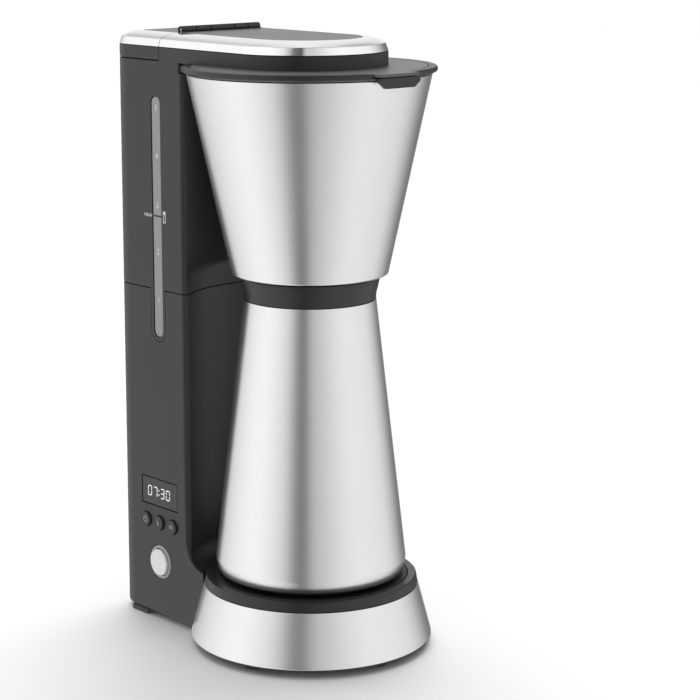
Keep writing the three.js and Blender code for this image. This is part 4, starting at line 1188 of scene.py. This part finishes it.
@dataclass
class Carafe:
    """The conical steel carafe with its brew-through lid."""

    widest: float = 51.8
    neck: float = 35.5
    steel: float = 1.0

    def build_shell(self) -> None:
        """Makes the outer steel shell."""
        s = span("carafe_shell")
        low, high, t = s.low, s.high, self.steel
        brim = high + 1.3
        profile = [(0, low, 0), (46.9, low, 0.3), (47.6, low - 2.4, 0.5), (50.2, low - 2.6, 1.3),
                   (self.widest, low + 4.6, 5.0), (self.neck, brim, 0.2), (self.neck - t, brim, 0.2),
                   (self.widest - t, low + 5.3, 4.0), (48.0, low + t, 3.0), (0, low + t, 0)]
        Body.lathe("steel_carafe", profile, 8, 192).dressed(STEEL, "carafe", "carafe_shell")

    def build_foot(self) -> None:
        """Makes the black ring under the carafe."""
        s = span("carafe_base_ring")
        profile = [(s.right - 8, s.low, 0.3), (s.right, s.low, 0.9), (s.right, s.high, 0.2),
                   (s.right - 8, s.high, 0.2)]
        Body.lathe("carafe_foot", profile, 4, 144).dressed(BLACK_DULL, "carafe", "carafe_base_ring")

    def build_lid(self) -> None:
        """Makes the lid: a waisted collar, a plug, and a cross over the brew hole."""
        s = span("carafe_lid")
        rim, low, top = s.right, span("carafe_shell").high + GAP, s.high
        plug = 27.3
        profile = [
            (10, low - 11, 0.3), (plug - 1, low - 11, 0.5), (plug, low - 8, 0.2), (plug - 1.2, low - 8, 0.1),
            (plug - 1.2, low - 5.6, 0.1), (plug, low - 5.6, 0.2), (plug, low - 0.5, 0.3), (plug + 1, low, 0.3),
            (self.neck - 1.2, low, 0.1), (self.neck - 1.2, low + 1.3, 0.1),
            (self.neck - 0.1, low + 1.3, 0.3), (self.neck + 0.1, low + 4.2, 6.0), (rim - 0.6, low + 8.6, 6.0),
            (rim, low + 11.6, 1.0), (rim, top, 1.1), (rim - 5, top, 0.8), (rim - 7, top - 2.5, 1.2),
            (11.5, top - 4, 0.8), (10, top - 4.6, 0.4)]
        lid = Body.lathe("carafe_cover", profile, 5, 160)
        bars = [Body.block("bar_x", (-12.6, 12.6), (-1, 1), (top - 7, top - 0.02)),
                Body.block("bar_y", (-1, 1), (-12.6, 12.6), (top - 7, top))]
        lid.join(*bars).dressed(BLACK, "carafe_lid", "carafe_lid")

    def build(self) -> None:
        """Makes the whole carafe."""
        self.build_shell()
        self.build_foot()
        self.build_lid()


# ---------------------------------------------------------------- base


@dataclass
class Base:
    """The round base: a steel skirt, a black ring, the platform, and the feet."""

    foot_radius: float = 66.2
    top_radius: float = 58.4
    drop: float = 1.4

    def tower_gap(self) -> Body:
        """The space that the base leaves for the tower."""
        return Body.block("tower_gap", (-90, 0), (-43.8, 43.8), (0, 60))

    def build_skirt(self) -> None:
        """Makes the steel skirt, cut away where the tower stands, and the black ring under its edge, which is partly
        the base's plastic edge and partly painted shade for the gap beneath.
        """
        s = span("base_skirt")
        low, high = s.low - self.drop, s.high
        wide, top = self.foot_radius, self.top_radius
        profile = [
            (wide - 2.6, low + 0.7, 0.1), (wide - 1.0, low + 0.7, 0.4), (wide - 0.3, low + 1.3, 0.8),
            (wide - 0.85, low + 3.8, 3.0),
            (top, high - 1.2, 0.35), (top - 5, high - 1.2, 0.2), (top - 5, high - 2.2, 0.2),
            (top - 1.2, high - 2.2, 0.3),
            (wide - 2.1, low + 3.0, 1.0)]
        Body.lathe("steel_skirt", profile, 5, 192).cut(self.tower_gap()).dressed(STEEL, "machine", "base_skirt")
        # A thin black ring under the skirt's edge: partly the base's plastic edge, partly painted shade standing for
        # the dark gap under the steel.
        lip = [(wide - 6, low, 0.1), (wide - 0.8, low, 0.3), (wide - 0.9, low + 1.0, 0.1),
               (wide - 6, low + 1.0, 0.1)]
        Body.lathe("skirt_lip_and_gap_shade", lip, 3, 192).cut(self.tower_gap()).dressed(BLACK_DULL, "machine")

    def build_top(self) -> None:
        """Makes the black ring and the platform that the carafe stands on."""
        s, disc = span("base_ring"), span("carafe_platform")
        ring = [(52.9, s.low - 1.2, 0.1), (s.right, s.low - 1.2, 0.2), (s.right - 0.9, s.high, 1.0),
                (52.9, s.high, 0.45)]
        Body.lathe("base_collar", ring, 5, 192).dressed(BLACK, "machine", "base_ring")
        profile = [(0, disc.high - 2.2, 0), (disc.right - 2.2, disc.high - 2.2, 0.2),
                   (disc.right - 2.2, disc.low, 0.1), (disc.right, disc.low, 0.1),
                   (disc.right, disc.high, 0.5), (disc.right - 3.0, disc.high, 0.2),
                   (disc.right - 3.6, disc.high - 0.5, 0.2), (0, disc.high - 0.5, 0)]
        Body.lathe("carafe_stand", profile, 4, 160).dressed(BLACK_DULL, "machine", "carafe_platform")

    def build_feet(self) -> None:
        """Makes the rubber feet and pads."""
        for i in (1, 2, 3):
            s = span(f"front_foot_{i}")
            r = s.radius
            profile = [(0, 0, 0), (r - 2.6, 0, 0.1), (r - 2.8, 0.35, 0.1), (r - 1.9, 0.35, 0.1),
                       (r - 1.6, 0, 0.2), (r - 0.6, 0, 0.6), (r, s.high, 0.3), (0, s.high, 0)]
            foot = Body.lathe(f"rubber_foot_{i}", profile, 3, 48, at=(s.x, s.y, 0.0))
            foot.dressed(RUBBER, "machine", f"front_foot_{i}")
        for i in (1, 2):
            s = span(f"rear_foot_{i}")
            pad = Body.block(f"rear_pad_{i}", (s.left, s.right), (s.front, s.back), (s.low, s.high))
            pad.softened(0.5, 3).dressed(PAD, "machine", f"rear_foot_{i}")

    def build_gland(self) -> None:
        """Makes the rubber bush of the cable inlet."""
        s = span("cable_gland")
        profile = rounded([(2.6, 0, 0.6), (5.2, 0, 0.8), (5.2, 2.8, 0.2), (7.2, 2.8, 0.4), (7.2, 5.5, 0.4),
                           (5.2, 5.5, 0.2), (5.2, 6.5, 0.4), (2.6, 6.5, 0.4)], 4)
        bush = Body.turned("inlet_bush", [(r, -h) for r, h in profile], 64, Facing.TO_REAR, (s.left, s.y, s.z))
        bush.dressed(RUBBER, "machine", "cable_gland")

    def build(self) -> None:
        """Makes the whole base."""
        self.build_skirt()
        self.build_top()
        self.build_feet()
        self.build_gland()


# ---------------------------------------------------------------- controls


@dataclass
class Controls:
    """The display, the three small keys and the power button."""

    wall: float = -TowerSection.half_width
    proud: float = 0.6
    digit_height: float = 5.4
    stroke: float = 0.5
    digit_places: tuple[float, ...] = (-88.6, -83.5, -77.0, -71.9)
    colon: float = -80.25
    fill_height: float = 230.6

    def build_key(self, node: str, name: str, finish: Finish, dish: float) -> None:
        """Makes a push key with a flange behind the wall.

        Args:
            node: the CAD node.
            name: the piece's name.
            finish: its finish.
            dish: how far its face is hollowed, or a negative number for a domed face.
        """
        s = span(node)
        flange = s.radius
        r = flange - 1.2
        front, back = self.proud - s.front, -s.back
        crown = front if dish < 0 else front - dish
        rim = front + dish if dish < 0 else front
        profile = [(0, crown, 0), (r * 0.5, crown - dish * 0.12, 3.0), (r - 0.5, rim, 0.3), (r, rim - 0.5, 0.4),
                   (r, back + 1.0, 0.1), (flange, back + 1.0, 0.1), (flange, back, 0.1), (0, back, 0)]
        Body.lathe(name, profile, 4, 64, Facing.TO_CONTROLS, (s.x, 0.0, s.z)).dressed(finish, node, node)

    def build_power_ring(self) -> None:
        """Makes the chrome ring round the power button."""
        s = span("power_key_ring")
        outer, inner = s.radius, 7.9
        front, back = -s.front, -s.back
        profile = [(inner, front - 0.15, 0.2), (inner + 0.5, front, 0.3), (outer - 0.4, front - 0.1, 0.4),
                   (outer, front - 0.5, 0.2), (outer, back, 0.1), (inner, back, 0.1)]
        ring = Body.lathe("power_ring", profile, 4, 96, Facing.TO_CONTROLS, (s.x, 0.0, s.z))
        ring.dressed(SILVER_RING, "machine", "power_key_ring")

    def build_lens(self) -> None:
        """Makes the display's lens."""
        s = span("display_window")
        rings = []
        for y, shrink in ((s.back, 0.2), (s.front + 0.2, 0.2), (s.front + 0.04, 0.24), (s.front, 0.35)):
            rings.append([(x, y, z) for x, z in rounded(pane_corners(s, -shrink), 3)])
        Body.stacked("display_pane", rings).dressed(LENS, "machine", "display_window")

    def segment(self, x: float, z: float, length: float, upright: bool) -> list[Point2]:
        """One lit segment's outline.

        Args:
            x: its middle along X.
            z: its middle in height.
            length: its length.
            upright: whether it stands.

        Returns:
            X and Z points, leaning a little to the right.
        """
        half, t = length / 2 - 0.12, self.stroke / 2
        flat = [(-half, 0), (-half + t, -t), (half - t, -t), (half, 0), (half - t, t), (-half + t, t)]
        points = [(x + (b if upright else a), z + (a if upright else b)) for a, b in flat]
        return [(px + (pz - 73.8) * 0.06, pz) for px, pz in points]

    def build_digits(self) -> None:
        """Makes the time that the display shows."""
        s = span("display_window")
        shapes = {"0": "abcdef", "7": "abc", "3": "abcdg"}
        h, w = self.digit_height, self.digit_height * 0.56
        z, y = s.z, s.front - 0.015
        work: list[list[Point2]] = []
        for digit, x in zip("0730", self.digit_places):
            places = {"a": (x, z + h / 2, w, False), "b": (x + w / 2, z + h / 4, h / 2, True),
                      "c": (x + w / 2, z - h / 4, h / 2, True), "d": (x, z - h / 2, w, False),
                      "e": (x - w / 2, z - h / 4, h / 2, True), "f": (x - w / 2, z + h / 4, h / 2, True),
                      "g": (x, z, w, False)}
            work += [self.segment(*places[letter]) for letter in shapes[digit]]
        for dz in (-1.2, 1.2):
            dot = ((-0.35, -0.35), (0.35, -0.35), (0.35, 0.35), (-0.35, 0.35))
            work.append([(self.colon + dx, z + dz + dy) for dx, dy in dot])
        mesh = bmesh.new()
        for outline in work:
            layers = [[mesh.verts.new((x, depth, height)) for x, height in outline] for depth in (y, y + 0.03)]
            for k in range(len(outline)):
                after = (k + 1) % len(outline)
                mesh.faces.new((layers[0][k], layers[0][after], layers[1][after], layers[1][k]))
            for layer in layers:
                mesh.faces.new(layer)
        Body("display_digits", mesh).dressed(DIGITS, "machine")

    def build_marks(self) -> None:
        """Makes the clock sign, and the h and the m on the small keys."""
        s = span("clock_key")
        x, z, y = s.x, s.z, s.front + 0.02 - self.proud
        dial = [(1.35, -y), (1.75, -y), (1.75, -y - PRINT_DEPTH), (1.35, -y - PRINT_DEPTH)]
        Body.turned("clock_dial", dial, 48, Facing.TO_CONTROLS, (x, 0, z)).dressed(PRINT, "clock_key")
        hand = [(x - 0.16, z - 0.1), (x + 0.85, z - 0.1), (x + 0.85, z + 0.18), (x + 0.16, z + 0.18),
                (x + 0.16, z + 1.05), (x - 0.16, z + 1.05)]
        Body.prism("clock_hands", hand, y, y + PRINT_DEPTH, Facing.TO_CONTROLS).dressed(PRINT, "clock_key")
        for node, letter in (("hour_key", "h"), ("minute_key", "m")):
            s = span(node)
            lettering(node + "_letter", letter, 3.3, s.x, s.z, s.front + 0.01 - self.proud).dressed(PRINT, node)

    def build_fill_mark(self) -> None:
        """Makes the fill line over the gauge, its word and the small cup sign."""
        z, y = self.fill_height, self.wall - 0.03
        depth = (y, y + PRINT_DEPTH)
        lettering("fill_word", "MAX", 2.1, -86.2, z, y).dressed(PRINT_WHITE, "machine")
        Body.block("fill_line_left", (-83.6, -81.9), depth, (z - 0.2, z + 0.2)).dressed(PRINT_WHITE, "machine")
        line = Body.block("fill_line_gauge", (-81.7, -74.1), (-43.32, -43.18), (z - 0.42, z + 0.42))
        line.dressed(BLACK_DULL, "machine")
        cup = [(-72.2, z + 3.2), (-72.2, z - 3.2), (-70.0, z - 3.2), (-70.0, z + 3.2), (-70.5, z + 3.2),
               (-70.5, z - 2.7), (-71.7, z - 2.7), (-71.7, z + 3.2)]
        Body.prism("fill_cup", cup, *depth, Facing.TO_CONTROLS).dressed(PRINT_WHITE, "machine")
        Body.block("fill_level", (-71.8, -70.4), depth, (z + 1.4, z + 3.2)).dressed(PRINT_WHITE, "machine")

    def build(self) -> None:
        """Makes all the controls."""
        self.build_lens()
        self.build_digits()
        for node in ("clock_key", "hour_key", "minute_key"):
            self.build_key(node, node + "_cap", KEYS, 0.25)
        self.build_key("power_key", "power_cap", SILVER, -0.35)
        self.build_power_ring()
        self.build_marks()
        self.build_fill_mark()


# ---------------------------------------------------------------- inner parts


def dress_inner_parts() -> None:
    """Gives the inner CAD parts their finishes."""
    finishes: dict[Finish, tuple[str, ...]] = {
        BLACK_DULL: ("tank_shelf", "check_valve", "water_outlet", "display_module", "base_pan", "carafe_neck_ring",
                     "drip_valve"),
        TANK: ("water_tank",),
        SILICONE: ("outlet_grommet", "tank_hose", "riser_pipe", "carafe_lid_gasket", "valve_seal"),
        ALUMINIUM: ("flow_heater",),
        ZINC: ("heater_bracket", "thermostat", "thermal_fuse", "hinge_pin", "valve_spring", "base_screw_1",
               "base_screw_2", "base_screw_3", "base_screw_4"),
        BOARD: ("control_board",),
        STEEL: ("carafe_liner",),
    }
    for finish, nodes in finishes.items():
        for name in nodes:
            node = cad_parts[name]
            node.data.materials.clear()
            node.data.materials.append(finish.material())
            log.info("%s: %s", name, finish.name)


# ---------------------------------------------------------------- studio


@dataclass
class Studio:
    """A white room with a dark strip behind the viewer, a pale floor, soft lights and the camera."""

    azimuth: float = 49.634
    roll: float = -0.2
    pitch: float = 10.512
    distance: float = 1.191432
    height: float = 0.410584
    width: float = 700.0
    sensor: float = 36.0
    focal: float = 2260.777
    centre: Point2 = (310.142, 300.0)

    def build_camera(self) -> None:
        """Places the camera."""
        data = bpy.data.cameras.new("camera")
        data.sensor_width = self.sensor
        data.lens = self.focal * self.sensor / self.width
        data.shift_x = 0.5 - self.centre[0] / self.width
        data.shift_y = self.centre[1] / self.width - 0.5
        data.clip_end = 50.0
        camera = bpy.data.objects.new("camera", data)
        around = math.radians(self.azimuth)
        camera.location = (AXIS + self.distance * math.sin(around), -self.distance * math.cos(around), self.height)
        turns = (Matrix.Rotation(around, 3, "Z"), Matrix.Rotation(math.radians(90 - self.pitch), 3, "X"),
                 Matrix.Rotation(math.radians(self.roll), 3, "Z"))
        camera.rotation_euler = (turns[0] @ turns[1] @ turns[2]).to_euler()
        bpy.context.scene.collection.objects.link(camera)
        bpy.context.scene.camera = camera

    def build_floor(self) -> None:
        """Makes the plain floor."""
        work = bmesh.new()
        for x, y in ((-4000, -4000), (4000, -4000), (4000, 4000), (-4000, 4000)):
            work.verts.new((x, y, -0.01))
        work.faces.new(work.verts[:])
        floor = Body("floor", work).object
        floor.data.materials.append(FLOOR.material())
        floor.visible_glossy = False

    def build_room(self) -> None:
        """Makes the light room: white all round, with a dark strip in one direction."""
        world = bpy.data.worlds.new("white room")
        bpy.context.scene.world = world
        world.use_nodes = True
        sheet = NodeSheet(world.node_tree)
        way = sheet.node("ShaderNodeTexCoord", output="Generated")
        toward = math.radians(self.azimuth - 90)
        flat = sheet.node("ShaderNodeMapping", {}, {"Vector": way, "Rotation": (0, 0, -toward)})
        parts = sheet.node("ShaderNodeSeparateXYZ", {}, {0: flat}, "X")
        across = Link(sheet, parts.socket.node.outputs["Y"])
        angle = sheet.node("ShaderNodeMath", {"operation": "ARCTAN2"}, {0: across, 1: parts})
        share = 0.5 + angle * (0.5 / math.pi)
        tones = [(0.0, 0.74), (0.028, 0.66), (0.055, 0.36), (0.1, 0.54), (0.14, 0.68), (0.21, 0.84), (0.26, 0.92),
                 (0.30, 0.95), (0.335, 0.88), (0.37, 0.8), (0.403, 0.68), (0.428, 0.44), (0.447, 0.16), (0.482, 0.09),
                 (0.492, 0.33), (0.502, 0.49), (0.535, 0.54), (0.565, 0.62), (0.60, 0.72), (0.63, 0.78),
                 (0.667, 0.82), (0.74, 0.78), (0.795, 0.74), (0.84, 0.54), (0.87, 0.36), (0.9, 0.2), (0.945, 0.1),
                 (0.972, 0.62), (1.0, 0.74)]
        ramp = sheet.node("ShaderNodeValToRGB", {"stops": [(p, (v, v, v)) for p, v in tones]}, {"Fac": share})
        up = Link(sheet, parts.socket.node.outputs["Z"])
        gap = (1.0 - (8.0 * up - 6.6).clamped()) * 0.88 + 0.12
        shine = sheet.node("ShaderNodeBackground", {}, {"Color": ramp, "Strength": 1.25 * gap})
        plain = sheet.node("ShaderNodeBackground", {}, {"Color": (1, 1, 1, 1), "Strength": 1.0})
        soft = sheet.node("ShaderNodeBackground", {}, {"Color": (1, 1, 1, 1), "Strength": 0.5})
        sight = sheet.node("ShaderNodeLightPath", output="Is Camera Ray")
        diffuse = sheet.node("ShaderNodeLightPath", output="Is Diffuse Ray")
        mixed = sheet.node("ShaderNodeMixShader", {}, {0: diffuse, 1: shine, 2: soft})
        mixed = sheet.node("ShaderNodeMixShader", {}, {0: sight, 1: mixed, 2: plain})
        sheet.node("ShaderNodeOutputWorld", {}, {"Surface": mixed})

    def build_light(self, name: str, place: Point3, size: Point2, power: float, shiny: bool) -> None:
        """Adds a soft panel aimed at the machine.

        Args:
            name: the light's name.
            place: where it stands, in metres.
            size: its width and height in metres.
            power: its power in watts.
            shiny: whether it shows in reflections.
        """
        data = bpy.data.lights.new(name, "AREA")
        data.shape = "RECTANGLE"
        data.size, data.size_y = size
        data.energy = power
        light = bpy.data.objects.new(name, data)
        light.location = place
        light.rotation_euler = (Vector((0, 0, 0.16)) - Vector(place)).to_track_quat("-Z", "Y").to_euler()
        light.visible_glossy = shiny
        bpy.context.scene.collection.objects.link(light)

    def build_sun(self) -> None:
        """Adds the broad light from behind that throws the soft shadow forward."""
        data = bpy.data.lights.new("broad_light", "SUN")
        data.energy = 2.35
        data.angle = math.radians(60)
        light = bpy.data.objects.new("broad_light", data)
        light.rotation_euler = (Vector((0, 0, 0)) - Vector((-0.55, 0.5, 1.2))).to_track_quat("-Z", "Y").to_euler()
        light.visible_glossy = False
        bpy.context.scene.collection.objects.link(light)

    def build(self) -> None:
        """Makes the whole studio."""
        self.build_camera()
        self.build_floor()
        self.build_room()
        self.build_light("panel_left", (-1.3, -0.9, 0.7), (0.9, 1.2), 3.0, False)
        self.build_sun()
        settings = bpy.context.scene.view_settings
        settings.view_transform = "Standard"
        settings.look = "None"


def main() -> None:
    """Builds the machine and the studio."""
    logging.basicConfig(level=logging.INFO, format="%(message)s")
    Studio().build()
    for part in (Housing(), BrewHead(), FunnelFilter(), Carafe(), Base(), Controls()):
        log.info("building %s", type(part).__name__)
        part.build()
    dress_inner_parts()


if __name__ == "__main__":
    main()
